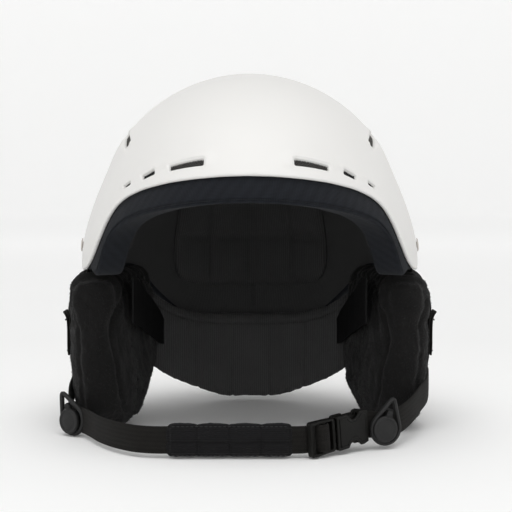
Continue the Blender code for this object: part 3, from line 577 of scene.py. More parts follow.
EQUATOR_Z, HALF_WIDTH, FRONT, REAR, RISE, WAIST = 0.107, 0.110, 0.152, 0.132, 0.123, 0.033
SHELL_T = 0.0025
LINER_IN = (0.021, 0.025, 0.022, 0.022)
RIM_AT = (0, 10, 20, 29, 40, 48, 52, 55, 57, 59, 62, 66, 70, 80, 90, 105, 115, 122, 130, 140, 152, 165, 180)
RIM_Z = (0.164, 0.1635, 0.162, 0.160, 0.156, 0.151, 0.1465, 0.141, 0.133, 0.1235, 0.114, 0.1085, 0.105, 0.1025,
         0.102, 0.101, 0.099, 0.092, 0.078, 0.062, 0.051, 0.046, 0.045)  # fmt: skip
FINE = np.arange(-360, 360.01, 0.25)


def _smooth_rim():
    z = np.interp(180 - np.abs(180 - np.abs(FINE)), RIM_AT, RIM_Z)
    k = np.exp(-0.5 * (np.arange(-40, 41) * 0.25 / 1.7) ** 2)
    return np.convolve(np.pad(z, 40, mode="edge"), k / k.sum(), mode="valid")


RIM_SMOOTH = _smooth_rim()


def ramp(x, x0, x1):
    return smooth01((np.asarray(x, float) - x0) / (x1 - x0))


def rim_height(a):
    return np.interp(a, FINE, RIM_SMOOTH)


def waist(w):
    return 1 - WAIST * np.sin(pi * np.clip((w - 36) / 54, 0, 1)) ** 2


def dome(a, w, inset=(0, 0, 0, 0)):
    """Points of the dome at azimuth a from the brow and angle w from the crown, in degrees."""
    side, front, rear, top = inset
    a, w = np.broadcast_arrays(np.asarray(a, float), np.asarray(w, float))
    reach = np.where(np.cos(np.radians(a)) > 0, FRONT - front, REAR - rear)
    s, c = np.sin(np.radians(w)), np.cos(np.radians(w))
    return np.stack(
        [
            (HALF_WIDTH - side) * s * waist(w) * np.sin(np.radians(a)),
            -reach * s * np.cos(np.radians(a)),
            EQUATOR_Z + (RISE - top) * c,
        ],
        -1,
    )


def angle_at(z, top=0.0):
    return np.degrees(np.arccos(np.clip((np.asarray(z, float) - EQUATOR_Z) / (RISE - top), -1, 1)))


def dome_normal(p):
    p = np.asarray(p, float)
    reach = np.where(p[..., 1] < 0, FRONT, REAR)
    n = np.stack([p[..., 0] / HALF_WIDTH**2, p[..., 1] / reach**2, (p[..., 2] - EQUATOR_Z) / RISE**2], -1)
    return n / np.linalg.norm(n, axis=-1, keepdims=True)


def onto_dome(p, inset=0.0):
    """Points moved level with their own height onto the shell's surface."""
    p = np.asarray(p, float).copy()
    w = angle_at(p[..., 2], inset)
    s = np.maximum(1e-6, np.sin(np.radians(w)))
    reach = np.where(p[..., 1] < 0, FRONT, REAR) - inset
    r = np.hypot(p[..., 0] / ((HALF_WIDTH - inset) * s * waist(w)), p[..., 1] / (reach * s))
    p[..., :2] /= np.maximum(r, 1e-9)[..., None]
    return p


def dome_x(y, z, inset):
    w = angle_at(z, inset)
    reach = ((FRONT if y < 0 else REAR) - inset) * sin(radians(float(w)))
    return float((HALF_WIDTH - inset) * waist(w) * sin(radians(float(w))) * sqrt(max(0.0, 1 - (y / reach) ** 2)))


def azimuths(n):
    """n azimuths round the whole rim, evenly spaced along it."""
    many = np.arange(-180, 180.01, 0.1)
    line = dome(many, angle_at(rim_height(many)))
    run = np.concatenate([[0], np.cumsum(np.linalg.norm(np.diff(line, axis=0), axis=1))])
    return np.interp(np.arange(n) * run[-1] / n, run, many), run[-1]


def liner_rim(a):
    a = np.abs(a)
    z = rim_height(a)
    low = z - 0.016 * (1 - ramp(a, 58, 72))
    return np.where(a < 100, np.maximum(low, 0.1005), low + 0.005 * ramp(a, 120, 150))


# Vents in the right half, mirrored at the left: ends, height at the inner and outer end, slant, hood.
SLOTS = (
    ("brow", (0.0270, -0.1240, 0.1715), (0.0480, -0.1140, 0.1675), 0.0053, 0.0040, 0.10, 0.0008),
    ("temple", (0.0570, -0.1060, 0.1655), (0.0650, -0.1000, 0.1615), 0.0047, 0.0038, 0.25, 0.0005),
    ("corner", (0.0720, -0.0910, 0.1585), (0.0770, -0.0860, 0.1555), 0.0036, 0.0028, 0.25, 0.0003),
    ("side", (0.0770, -0.0560, 0.1820), (0.0800, -0.0260, 0.1900), 0.0056, 0.0044, -0.15, 0.0010),
    ("rear", (0.0500, 0.0840, 0.1800), (0.0300, 0.0960, 0.1800), 0.0060, 0.0052, 0.10, 0.0008),
)


def on_shell(p):
    reach = FRONT if p[1] < 0 else REAR
    w = degrees(atan2(hypot(p[0] / HALF_WIDTH, p[1] / reach), (p[2] - EQUATOR_Z) / RISE))
    a = degrees(atan2(p[0] / HALF_WIDTH, -p[1] / reach))
    return dome(a, w)


def slots():
    for side, tag in ((-1, "l"), (1, "r")):
        for name, first, last, tall0, tall1, slant, hood in SLOTS:
            p, q = on_shell(first), on_shell(last)
            p[0] *= side
            q[0] *= side
            mid = (p + q) / 2
            out = dome_normal(mid)
            along = (q - p) / np.linalg.norm(q - p)
            up = np.cross(out, along) * side
            yield dict(name=name, tag=tag, mid=mid, out=out, along=along, up=up, length=float(np.linalg.norm(q - p)),
                       tall=(tall0, tall1), slant=slant, hood=hood)  # fmt: skip


def slot_distance(s, u, v):
    """Signed distance to a slot's rounded outline, negative inside."""
    half = s["length"] / 2
    t = np.clip((u + half) / (2 * half), 0, 1)
    tall = (s["tall"][0] * (1 - t) + s["tall"][1] * t) / 2
    r = 0.0011
    x = np.abs(u - s["slant"] * v) - (half - r)
    y = np.abs(v) - (tall - r)
    return np.hypot(np.maximum(x, 0), np.maximum(y, 0)) + np.minimum(np.maximum(x, y), 0) - r


def refine(points, faces, levels):
    """Splits each quad into level by level cells; a coarser neighbour takes up the extra points on its edge."""
    old = np.asarray(points, float)
    new, edge_level = [], {}
    for f, m in zip(faces, levels):
        for a, b in zip(f, f[1:] + f[:1]):
            key = (min(a, b), max(a, b))
            edge_level[key] = max(edge_level.get(key, 1), int(m))

    def add(p):
        new.append(p)
        return len(old) + len(new) - 1

    on_edge = {}
    for (a, b), m in edge_level.items():
        on_edge[a, b] = [a, *[add(old[a] + (old[b] - old[a]) * k / m) for k in range(1, m)], b]
    line = lambda a, b: on_edge[a, b] if a < b else on_edge[b, a][::-1]
    out = []
    for f, m in zip(faces, levels):
        if m == 1:
            out.append([v for a, b in zip(f, f[1:] + f[:1]) for v in line(a, b)[:-1]])
            continue
        a, b, c, d = f
        sides = [line(a, b), line(b, c), line(c, d), line(d, a)]
        step = [(len(side) - 1) // m for side in sides]
        spot = {}
        for i in range(m + 1):
            for j in range(m + 1):
                if j == 0:
                    spot[i, j] = sides[0][i * step[0]]
                elif i == m:
                    spot[i, j] = sides[1][j * step[1]]
                elif j == m:
                    spot[i, j] = sides[2][(m - i) * step[2]]
                elif i == 0:
                    spot[i, j] = sides[3][(m - j) * step[3]]
                else:
                    u, v = i / m, j / m
                    p = old[a] * (1 - u) * (1 - v) + old[b] * u * (1 - v) + old[c] * u * v + old[d] * (1 - u) * v
                    spot[i, j] = add(p)
        for i in range(m):
            for j in range(m):
                loop = sides[0][i * step[0] : (i + 1) * step[0]] if j == 0 else [spot[i, j]]
                loop = loop + (sides[1][j * step[1] : (j + 1) * step[1]] if i == m - 1 else [spot[i + 1, j]])
                far_side = sides[2][(m - 1 - i) * step[2] : (m - i) * step[2]]
                loop = loop + (far_side if j == m - 1 else [spot[i + 1, j + 1]])
                loop = loop + (sides[3][(m - 1 - j) * step[3] : (m - j) * step[3]] if i == 0 else [spot[i, j + 1]])
                out.append(loop)
    return np.concatenate([old, np.array(new)]) if new else old, out


def outer_shell():
    n, rows, bend, under = 300, 84, 8, 14
    az, _ = azimuths(n)
    edge = angle_at(rim_height(az)) - np.degrees(0.00125 / 0.125)
    inner = (SHELL_T,) * 4
    points = [dome(np.array([0.0]), np.array([0.0]))]
    for j in range(1, rows + 1):
        points.append(dome(az, edge * (j / rows)))
    out, back, ahead = dome(az, edge), dome(az, edge, inner), dome(az, edge + 0.5)
    centre, radial = (out + back) / 2, (out - back) / 2
    way = ahead - out
    way /= np.linalg.norm(way, axis=1)[:, None]
    for k in range(1, bend):
        t = pi * k / bend
        points.append(centre + radial * cos(t) + way * 0.00125 * sin(t))
    for j in range(under, 0, -1):
        points.append(dome(az, edge * (j / under), inner))
    points.append(dome(np.array([0.0]), np.array([0.0]), inner))
    co = np.concatenate(points)
    total = rows + bend - 1 + under
    faces = [(0, 1 + c, 1 + (c + 1) % n) for c in range(n)]
    faces += [tuple(1 + v for v in f) for f in ring_sheet(total, n)]
    last = 1 + (total - 1) * n
    faces += [(last + c, len(co) - 1, last + (c + 1) % n) for c in range(n)]
    found = list(slots())
    levels = np.ones(len(faces), int)
    centres = np.array([co[list(f)].mean(axis=0) for f in faces])
    outside = np.array([max(f) < 1 + rows * n and len(f) == 4 for f in faces])
    for s in found:
        d = centres - s["mid"]
        gap = slot_distance(s, d @ s["along"], d @ s["up"])
        near = outside & (np.abs(d @ s["out"]) < 0.012)
        levels[near & (gap < 0.0110)] = np.maximum(levels[near & (gap < 0.0110)], 2)
        levels[near & (gap < 0.0036)] = 8
    first_new = len(co)
    co, faces = refine(co, faces, levels)
    mine = (np.arange(len(co)) < 1 + rows * n) | (np.arange(len(co)) >= first_new)
    low = angle_at(co[:, 2]) > 4
    co[mine & low] = onto_dome(co[mine & low])
    rise, sink = np.zeros(len(co)), np.zeros(len(co))
    for s in found:
        d = co - s["mid"]
        u, v, deep = d @ s["along"], d @ s["up"], d @ s["out"]
        here = mine & (np.abs(deep) < 0.016) & (np.abs(u) < 0.06) & (np.abs(v) < 0.06)
        gap = slot_distance(s, u, v)
        half = s["length"] / 2
        above = smooth01((v + 0.0005) / 0.003)
        if s["name"] in ("brow", "rear"):
            above = np.maximum(above, smooth01((-u - half + 0.002) / 0.003) * smooth01((v + 0.007) / 0.006))
        ridge = smooth01((gap - 0.0002) / 0.0016) * (1 - smooth01((gap - 0.0018) / 0.0075))
        rise += np.where(here, s["hood"] * ridge * above, 0)
        if s["name"] == "side":
            below = smooth01((-v - s["tall"][0] / 2 + 0.001) / 0.003) * (1 - smooth01((-v - 0.006) / 0.026))
            rise += np.where(here, 0.0016 * below * np.exp(-((u / 0.022) ** 2)), 0)
        sink = np.maximum(sink, np.where(here, smooth01((0.00030 - gap) / 0.00085), 0))
    co += dome_normal(co) * (rise - 0.00225 * sink)[:, None]
    # faces deep in each vent recess take the near-black material: painted shade plus the dark liner behind the slot
    index = [1 if sink[list(f)].min() > 0.5 else 0 for f in faces]
    shell = mesh_object("shell", co, faces, [PAINT, VENT_LINER_AND_SHADE], index=index)
    fix_normals(shell)
    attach(shell, "helmet")
    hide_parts("outer_shell")
    return shell


def vent_nets():
    for s in slots():
        if s["name"] not in ("brow", "side", "rear"):
            continue
        half, tall = s["length"] / 2 + 0.0002, max(s["tall"]) / 2 + 0.0002
        points, faces = [], []
        for hand in (1, -1):
            start = -half - tall
            while start < half + tall:
                line = []
                for k in range(9):
                    v = -tall + 2 * tall * k / 8
                    u = start + (v + tall) * hand if hand > 0 else start - (v - tall)
                    if abs(u) <= half:
                        weft = 0.00016 * sin((u + v * hand) * 2 * pi / 0.0022)
                        p = onto_dome(s["mid"] + u * s["along"] + v * s["up"])
                        line.append(p - dome_normal(p) * (0.00135 - weft * hand))
                if len(line) > 1:
                    base = len(points)
                    for k, p in enumerate(line):
                        way = line[min(k + 1, len(line) - 1)] - line[max(k - 1, 0)]
                        way /= np.linalg.norm(way)
                        side = np.cross(way, s["out"])
                        side /= np.linalg.norm(side)
                        for j in range(5):
                            t = 2 * pi * j / 5
                            points.append(p + (side * cos(t) + s["out"] * sin(t)) * 0.00018)
                    faces += [tuple(base + i for i in f) for f in ring_sheet(len(line), 5)]
                    end = base + (len(line) - 1) * 5
                    faces += [tuple(range(base, base + 5))[::-1], tuple(range(end, end + 5))]
                start += 0.00175
        net = mesh_object(f"net_{s['name']}_{s['tag']}", points, faces, NET)
        fix_normals(net)
        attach(net, "helmet")
        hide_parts(f"vent_mesh_{s['name']}_{s['tag']}")


def bezier(p, c, q, n):
    return [p * (1 - t) ** 2 + c * 2 * t * (1 - t) + q * t**2 for t in (k / n for k in range(n + 1))]


def liner():
    """The foam body under its knit: a band below the brow, a rounded edge and the cavity."""
    n = 216
    az, length = azimuths(n)
    outer_in = (SHELL_T + 0.0007,) * 4
    low = liner_rim(az)
    w_out, w_in = angle_at(low, outer_in[3]), angle_at(low, LINER_IN[3])
    rows = []
    rows.append(dome(az, w_out * 0.02, outer_in))
    for j in (0.25, 0.5, 0.75):
        rows.append(dome(az, w_out * j, outer_in))
    band = np.clip((w_out - angle_at(rim_height(az))) / w_out, 0, 1)
    first = w_out - np.degrees(0.020 / 0.125)
    for j in range(11):
        w = first + (w_out - first) * j / 10
        if j == 10:
            break
        bulge = 0.0008 * sin(pi * j / 10) * (band > 0.01)
        rows.append(dome(az, w, outer_in) + dome_normal(dome(az, w)) * (np.ones(n) * bulge)[:, None])
    o, i = dome(az, w_out, outer_in), dome(az, w_in, LINER_IN)
    before = dome(az, w_out - np.degrees(0.0025 / 0.125), outer_in)
    after = dome(az, w_in - np.degrees(0.0042 / 0.110), LINER_IN)
    flat = i - o
    flat /= np.linalg.norm(flat, axis=1)[:, None]
    rows += bezier(before, o, o + flat * 0.0025, 6)
    rows += [o + (i - o) * t for t in (0.3, 0.5, 0.7)]
    rows += bezier(i - flat * 0.0042, i, after, 8)
    for j in range(1, 15):
        rows.append(dome(az, (w_in - np.degrees(0.0042 / 0.110)) * (1 - j / 14.3), LINER_IN))
    grid = np.stack(rows)
    along = np.interp(np.arange(n), [0, n], [0, length])
    down = np.concatenate([[0], np.cumsum(np.linalg.norm(np.diff(grid[:, 0], axis=0), axis=1))])
    uv = np.stack(np.broadcast_arrays(along[None, :], down[:, None]), 2)
    co = grid.reshape(-1, 3)
    faces = ring_sheet(len(rows), n)
    faces.append(tuple(range(n))[::-1])
    faces.append(tuple((len(rows) - 1) * n + c for c in range(n)))
    inner_from = (len(rows) - 16) * n
    index = [1 if min(f) >= inner_from else 0 for f in faces]
    ob = mesh_object("liner", co, faces, [KNIT, RIB], uv=uv.reshape(-1, 2), index=index)
    fix_normals(ob)
    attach(ob, "helmet")
    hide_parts("eps_liner")
    return ob


# ---------------------------------------------------------------- lining


def lining_patch(name, node, a0, a1, w0, w1, thick, quilt=(1, 1), nu=72, nv=44):
    """A comfort pad: a crowned, channelled patch on the cavity's wall."""
    a = np.linspace(a0, a1, nu)[:, None]
    w = np.linspace(w0, w1, nv)[None, :]
    u, v = np.linspace(-1, 1, nu)[:, None], np.linspace(-1, 1, nv)[None, :]
    a, w, u, v = np.broadcast_arrays(a, w, u, v)
    r = (np.abs(u) ** 5 + np.abs(v) ** 5) ** 0.2
    pull = 1 - 0.03 * (1 - v**2) * np.abs(u) ** 8
    a = (a0 + a1) / 2 + (a - (a0 + a1) / 2) * np.where(r > 1, 1 / np.maximum(r, 1), 1) * pull
    w = (w0 + w1) / 2 + (w - (w0 + w1) / 2) * np.where(r > 1, 1 / np.maximum(r, 1), 1)
    r = np.clip(r, 0, 1)
    body = (1 - r**7) ** 0.5
    lanes = 1.0
    if quilt[0] > 1:
        lanes = lanes * (1 - 0.32 * np.exp(-((np.abs((u + 1) / 2 * quilt[0] % 1 - 0.5) - 0.5) / 0.10) ** 2))
    if quilt[1] > 1:
        lanes = lanes * (1 - 0.32 * np.exp(-((np.abs((v + 1) / 2 * quilt[1] % 1 - 0.5) - 0.5) / 0.10) ** 2))
    height = 0.0008 + (thick - 0.0008) * body * lanes
    base = dome(a, w, tuple(i + 0.0006 for i in LINER_IN))
    inwards = -dome_normal(base)
    top = base + inwards * height[..., None]
    run = np.linalg.norm(base[-1, nv // 2] - base[0, nv // 2]) * 1.1
    drop = np.linalg.norm(base[nu // 2, -1] - base[nu // 2, 0]) * 1.05
    uv = np.stack([(u + 1) / 2 * run, (v + 1) / 2 * drop], -1)
    points = np.concatenate([top.reshape(-1, 3), base.reshape(-1, 3)])
    faces = ring_sheet(nu, nv, close_cols=False)
    k = nu * nv
    faces += [tuple(k + i for i in f)[::-1] for f in faces]
    border = [j for j in range(nv)] + [i * nv + nv - 1 for i in range(1, nu)]
    border += [(nu - 1) * nv + j for j in range(nv - 2, -1, -1)] + [i * nv for i in range(nu - 2, 0, -1)]
    for p, q in zip(border, border[1:] + border[:1]):
        faces.append((p, k + p, k + q, q))
    ob = mesh_object(name, points, faces, RIB, uv=np.concatenate([uv.reshape(-1, 2)] * 2))
    fix_normals(ob)
    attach(ob, "helmet")
    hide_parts(node)
    return ob


def crown_patch():
    """The round crown pad with a sewn cross and ribs."""
    n, rows = 120, 34
    az = np.linspace(-180, 180, n, endpoint=False)
    top, base = [], []
    inset = tuple(i + 0.0006 for i in LINER_IN)
    for j in range(rows + 1):
        t = j / rows
        p = dome(az, 30.0 * max(t, 0.01), inset)
        x, y = p[:, 0], p[:, 1]
        seam = np.exp(-((x / 0.0022) ** 2)) + np.exp(-(((y - 0.008) / 0.0022) ** 2))
        height = 0.0008 + 0.0050 * (1 - t**7) ** 0.5 * (1 - 0.35 * np.clip(seam, 0, 1))
        base.append(p)
        top.append(p - dome_normal(p) * height[:, None])
    co = np.concatenate([*top, *base[::-1]])
    total = 2 * (rows + 1)
    faces = ring_sheet(total, n)
    faces.append(tuple(range(n)))
    faces.append(tuple((total - 1) * n + c for c in range(n)))
    ob = mesh_object("crown_lining", co, faces, RIB, uv=co[:, :2])
    fix_normals(ob)
    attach(ob, "helmet")
    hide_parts("crown_pad")


# ---------------------------------------------------------------- stuffed pads


def inflate(ob, voxel, pressure, cap, frames=20):
    """Cloth simulation of a stuffed pad: it swells under its own filling, each point by no more than the cap."""
    mod = ob.modifiers.new("remesh", "REMESH")
    mod.mode = "VOXEL"
    mod.voxel_size = voxel
    mod.use_smooth_shade = True
    apply_modifiers(ob)
    rest = get_points(ob)
    scene = bpy.context.scene
    cloth = ob.modifiers.new("cloth", "CLOTH")
    cloth.settings.quality = 5
    cloth.settings.mass = 0.3
    cloth.settings.tension_stiffness = 12
    cloth.settings.compression_stiffness = 12
    cloth.settings.bending_stiffness = 1.5
    cloth.settings.use_pressure = True
    cloth.settings.uniform_pressure_force = pressure
    cloth.settings.effector_weights.gravity = 0
    cloth.point_cache.frame_start, cloth.point_cache.frame_end = 1, frames
    for f in range(1, frames + 1):
        scene.frame_set(f)
    graph = bpy.context.evaluated_depsgraph_get()
    ev = ob.evaluated_get(graph)
    out = np.empty(len(ev.data.vertices) * 3)
    ev.data.vertices.foreach_get("co", out)
    out = out.reshape(-1, 3)
    ob.modifiers.clear()
    scene.frame_set(1)
    move = out - rest
    far = np.linalg.norm(move, axis=1)
    move *= np.minimum(1, cap / np.maximum(far, 1e-9))[:, None]
    set_points(ob, rest + np.nan_to_num(move))
    sub = ob.modifiers.new("subdivide", "SUBSURF")
    sub.levels = sub.render_levels = 1
    apply_modifiers(ob)
    return ob


EAR_Y, EAR_Z, EAR_HY, EAR_HZ, EAR_POWER, EAR_EASE = 0.004, 0.0495, 0.060, 0.053, 3.2, 0.55


def ear_outer(y):
    return 0.1125 - np.where(y > -0.01, 2.6, 0.8) * (y + 0.01) ** 2


def ear_inner(y):
    return 0.0740 - 0.15 * y


def ear_lean(z):
    return 0.003 * (np.maximum(0.0, 0.055 - z) / 0.055) ** 2 + 0.0045 * ramp(z, 0.070, 0.099)


def ear_surface(y, z):
    r = (abs((y - EAR_Y) / EAR_HY) ** EAR_POWER + abs((z - EAR_Z) / EAR_HZ) ** EAR_POWER) ** (1 / EAR_POWER)
    s = min(1.0, r ** (1 / EAR_EASE))
    bulge = (1 - s * s) ** (EAR_EASE / 2)
    out, back = float(ear_outer(y)), float(ear_inner(y))
    return (out + back) / 2 - float(ear_lean(z)) + bulge * (out - back) / 2


def strap_beds(co):
    """For points beside the ear: how far out each strap stands there, and how far its middle line is."""
    y, z = co[:, 1], co[:, 2]
    grid_y, grid_z = np.linspace(-0.060, 0.070, 66), np.linspace(0.0, 0.105, 54)
    iy = np.clip(np.round((y + 0.060) / 0.002).astype(int), 0, 65)
    iz = np.clip(np.round(z / 0.105 * 53).astype(int), 0, 53)
    for line, reach in ((FRONT_LINE, front_reach), (REAR_LINE, rear_reach)):
        table = np.array([[reach(float(b), float(c)) for c in grid_z] for b in grid_y])
        path = np.array([(p.x, p.y) for p in line])
        far = np.min(np.hypot(y[:, None] - path[None, :, 0], z[:, None] - path[None, :, 1]), axis=1)
        yield table[iy, iz], far


def ear_pads():
    for side, tag in ((-1, "l"), (1, "r")):
        nu, nv = 96, 48
        co, faces = [], []
        for j in range(1, nv):
            lat = pi * j / nv
            c, s = cos(lat), sin(lat)
            th = np.linspace(0, 2 * pi, nu, endpoint=False)
            high = smooth01(np.sin(th) * 1.6)
            power, ease = EAR_POWER + 3.0 * high, EAR_EASE - 0.20 * high
            r = s**ease
            y = EAR_Y + (EAR_HY - 0.0012) * r * np.sign(np.cos(th)) * np.abs(np.cos(th)) ** (2 / power)
            z = EAR_Z + (EAR_HZ - 0.0012) * r * np.sign(np.sin(th)) * np.abs(np.sin(th)) ** (2 / power)
            bulge = (1 if c >= 0 else -1) * abs(c) ** ease
            out, back = ear_outer(y) + 0.0034, ear_inner(y) + 0.0012 - 0.0045 * ramp(z, 0.065, 0.030)
            lean = ear_lean(np.minimum(z, 0.070))
            x = (out + back) / 2 - lean + bulge * (out - back) / 2
            co.append(np.stack([side * x, y, np.clip(z, 0.0016, 0.1008)], -1))
        rows = len(co)
        faces = ring_sheet(rows, nu)
        faces.append(tuple(range(nu))[::-1])
        faces.append(tuple((rows - 1) * nu + c for c in range(nu)))
        pad = mesh_object(f"ear_cushion_{tag}", np.concatenate(co), faces, PLUSH)
        fix_normals(pad)
        inflate(pad, 0.0045, 4, 0.0022)
        even = pad.modifiers.new("even", "SMOOTH")
        even.factor, even.iterations = 0.5, 6
        sub = pad.modifiers.new("subdivide", "SUBSURF")
        sub.levels = sub.render_levels = 1
        apply_modifiers(pad)
        co, nn = get_points(pad), normals(pad)
        x, y, z = co[:, 0] * side, co[:, 1], co[:, 2]
        # gathers under the shell's edge, soft lumps, and the sewn edge round the inner face
        gather = np.sin(y / 0.0105 * 2 * pi + 2.2 * np.sin(z / 0.031) + side) * ramp(z, 0.050, 0.088)
        lumps = cloud(co, 0.030, seed=2.0 + side, octaves=2)
        fine = cloud(co, 0.009, seed=5.0 + side, octaves=2)
        push = 0.0011 * gather + 0.0010 * lumps + 0.00035 * fine
        mid = (ear_outer(y) + ear_inner(y)) / 2 - ear_lean(z)
        tuck = (0.030 if side < 0 else 0.018) * ramp(y, -0.010, 0.050)
        co[:, 2] += tuck * np.clip(1 - z / 0.055, 0, 1)
        across_y, across_z = np.abs((y - EAR_Y) / EAR_HY), np.abs((z - EAR_Z) / EAR_HZ)
        rim = (across_y**EAR_POWER + across_z**EAR_POWER) ** (1 / EAR_POWER)
        seam = np.exp(-(((rim - 0.86) / 0.022) ** 2)) * (x < mid)
        seam += 0.8 * np.exp(-(((rim - 0.93) / 0.02) ** 2)) * (x > mid) * (z < 0.09)
        push -= 0.0016 * seam
        hole = np.exp(-((((y + 0.004) / 0.019) ** 2 + ((z - 0.056) / 0.024) ** 2) ** 2)) * (x < mid)
        push -= 0.0035 * hole
        fold = np.exp(-(((z - 0.074 - 0.10 * (y - EAR_Y)) / 0.0035) ** 2)) * (x > mid)
        push -= 0.0012 * fold
        co = co + nn * push[:, None]
        co[:, 2] = np.clip(co[:, 2], 0.0004 + 0.0002 * np.abs(fine), 0.1015)
        # the straps lie on the plush and press it in
        outwards = co[:, 0] * side
        for reach, across in strap_beds(co):
            press = 1 - smooth01((across - 0.0080) / 0.0050)
            limit = reach - 0.0012 + 0.006 * (1 - press)
            outwards = np.where((press > 0) & (outwards > mid), np.minimum(outwards, limit), outwards)
        co[:, 0] = outwards * side
        set_points(pad, co)
        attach(pad, "helmet")
        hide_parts(f"ear_pad_{tag}")
        pile_on(pad, tag, side)


def pile_on(pad, tag, side, count=9000, tall=0.0012):
    """Short pile: curved closed blades, leaning down and with the nap's swirl."""
    mesh = pad.data
    mesh.calc_loop_triangles()
    tri = np.array([t.vertices[:] for t in mesh.loop_triangles])
    co, nn = get_points(pad), normals(pad)
    a, b, c = co[tri[:, 0]], co[tri[:, 1]], co[tri[:, 2]]
    area = np.linalg.norm(np.cross(b - a, c - a), axis=1) / 2
    centre = (a + b + c) / 3
    area = area * ((centre[:, 2] > 0.003) & (centre[:, 2] < 0.0975))
    for reach, across in strap_beds(centre):
        area = area * ~((across < 0.0092) & (centre[:, 0] * side > reach - 0.005))
    local = np.random.default_rng(11 if side > 0 else 12)
    pick = local.choice(len(tri), count, p=area / area.sum())
    r1, r2 = np.sqrt(local.random(count)), local.random(count)
    k = np.stack([1 - r1, r1 * (1 - r2), r1 * r2], 1)
    root = np.einsum("ij,ijk->ik", k, co[tri[pick]])
    out = np.einsum("ij,ijk->ik", k, nn[tri[pick]])
    out /= np.linalg.norm(out, axis=1)[:, None]
    nap = np.stack([cloud(root, 0.040, 1), cloud(root, 0.040, 4), cloud(root, 0.040, 8) - 0.9], 1)
    nap += local.normal(0, 0.35, (count, 3))
    nap -= out * np.sum(nap * out, axis=1)[:, None]
    nap /= np.maximum(np.linalg.norm(nap, axis=1), 1e-6)[:, None]
    size = tall * local.uniform(0.7, 1.15, count)[:, None]
    wide = local.uniform(0.00012, 0.00022, count)[:, None]
    side_way = np.cross(out, nap)
    base = root - out * 0.0003
    mid = root + out * size * 0.42 + nap * size * 0.30
    tip = root + out * size * 0.62 + nap * size * 0.85
    tip[:, 2] = np.maximum(tip[:, 2], 0.0003)
    mid[:, 2] = np.maximum(mid[:, 2], 0.0003)
    base[:, 2] = np.maximum(base[:, 2], 0.0003)
    points = np.empty((count, 7, 3))
    for j in range(3):
        t = 2 * pi * j / 3
        ring = side_way * cos(t) + nap * sin(t)
        points[:, j] = base + ring * wide
        points[:, 3 + j] = mid + ring * wide * 0.75
    points[:, 6] = tip
    one = [(0, 2, 1), (0, 1, 4, 3), (1, 2, 5, 4), (2, 0, 3, 5), (3, 4, 6), (4, 5, 6), (5, 3, 6)]
    faces = []
    for i in range(count):
        faces += [tuple(7 * i + v for v in f) for f in one]
    ob = mesh_object(f"ear_pile_{tag}", points.reshape(-1, 3), faces, PILE)
    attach(ob, "helmet")


def nape_cushion():
    nu, nv = 60, 28
    front, back = [], []
    for i in range(nu + 1):
        u = i / nu
        x = (2 * u - 1) * 0.0735
        low = max(0.0, 0.024 * (x / 0.065) ** 2 - 0.0012) + 0.0008
        high = 0.0645 + 0.0035 * (x / 0.065) ** 2 + 0.0200 * (x / 0.0735) ** 4
        mid = 0.0905 - 0.031 * (x / 0.065) ** 2
        f, b = [], []
        for j in range(nv + 1):
            v = j / nv
            v2 = 2 * v - 1
            half = 0.0062 * (1 - 0.55 * abs(2 * u - 1) ** 4) * (1 - 0.45 * v2**4)
            z = low + (high - low) * v
            f.append((x, mid - half, z))
            b.append((x, mid + half, z))
        front.append(f)
        back.append(b)
    ring = np.concatenate([np.array(front), np.array(back)[:, ::-1]], axis=1)
    m = ring.shape[1]
    faces = ring_sheet(nu + 1, m)
    faces.append(tuple(range(m)))
    faces.append(tuple(nu * m + k for k in range(m))[::-1])
    pad = mesh_object("nape_cushion", ring.reshape(-1, 3), faces, RIB)
    fix_normals(pad)
    inflate(pad, 0.0027, 4, 0.0018)
    even = pad.modifiers.new("even", "SMOOTH")
    even.factor, even.iterations = 0.5, 40
    sub = pad.modifiers.new("subdivide", "SUBSURF")
    sub.levels = sub.render_levels = 1
    apply_modifiers(pad)
    co, nn = get_points(pad), normals(pad)
    x, z = co[:, 0], co[:, 2]
    high = 0.0645 + 0.0035 * (x / 0.065) ** 2 + 0.0200 * (x / 0.0735) ** 4
    seam = np.exp(-(((z - high + 0.0075) / 0.0011) ** 2))
    for at in (-0.038, -0.013, 0.013, 0.038):
        seam = seam + 0.7 * np.exp(-(((x - at) / 0.0012) ** 2)) * (z < high - 0.0075)
    co = co + nn * (-0.0011 * np.clip(seam, 0, 1) + 0.0004 * cloud(co, 0.018, 3.0))[:, None]
    co[:, 2] = np.maximum(co[:, 2], 0.0003)
    set_points(pad, co)
    set_uv(pad, np.stack([co[:, 0], co[:, 2]], 1))
    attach(pad, "helmet")
    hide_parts("nape_pad")


def set_uv(ob, uv):
    mesh = ob.data
    layer = mesh.uv_layers.get("UVMap") or mesh.uv_layers.new(name="UVMap")
    loops = np.zeros(len(mesh.loops), np.int32)
    mesh.loops.foreach_get("vertex_index", loops)
    layer.data.foreach_set("uv", np.asarray(uv, np.float32)[loops].ravel())


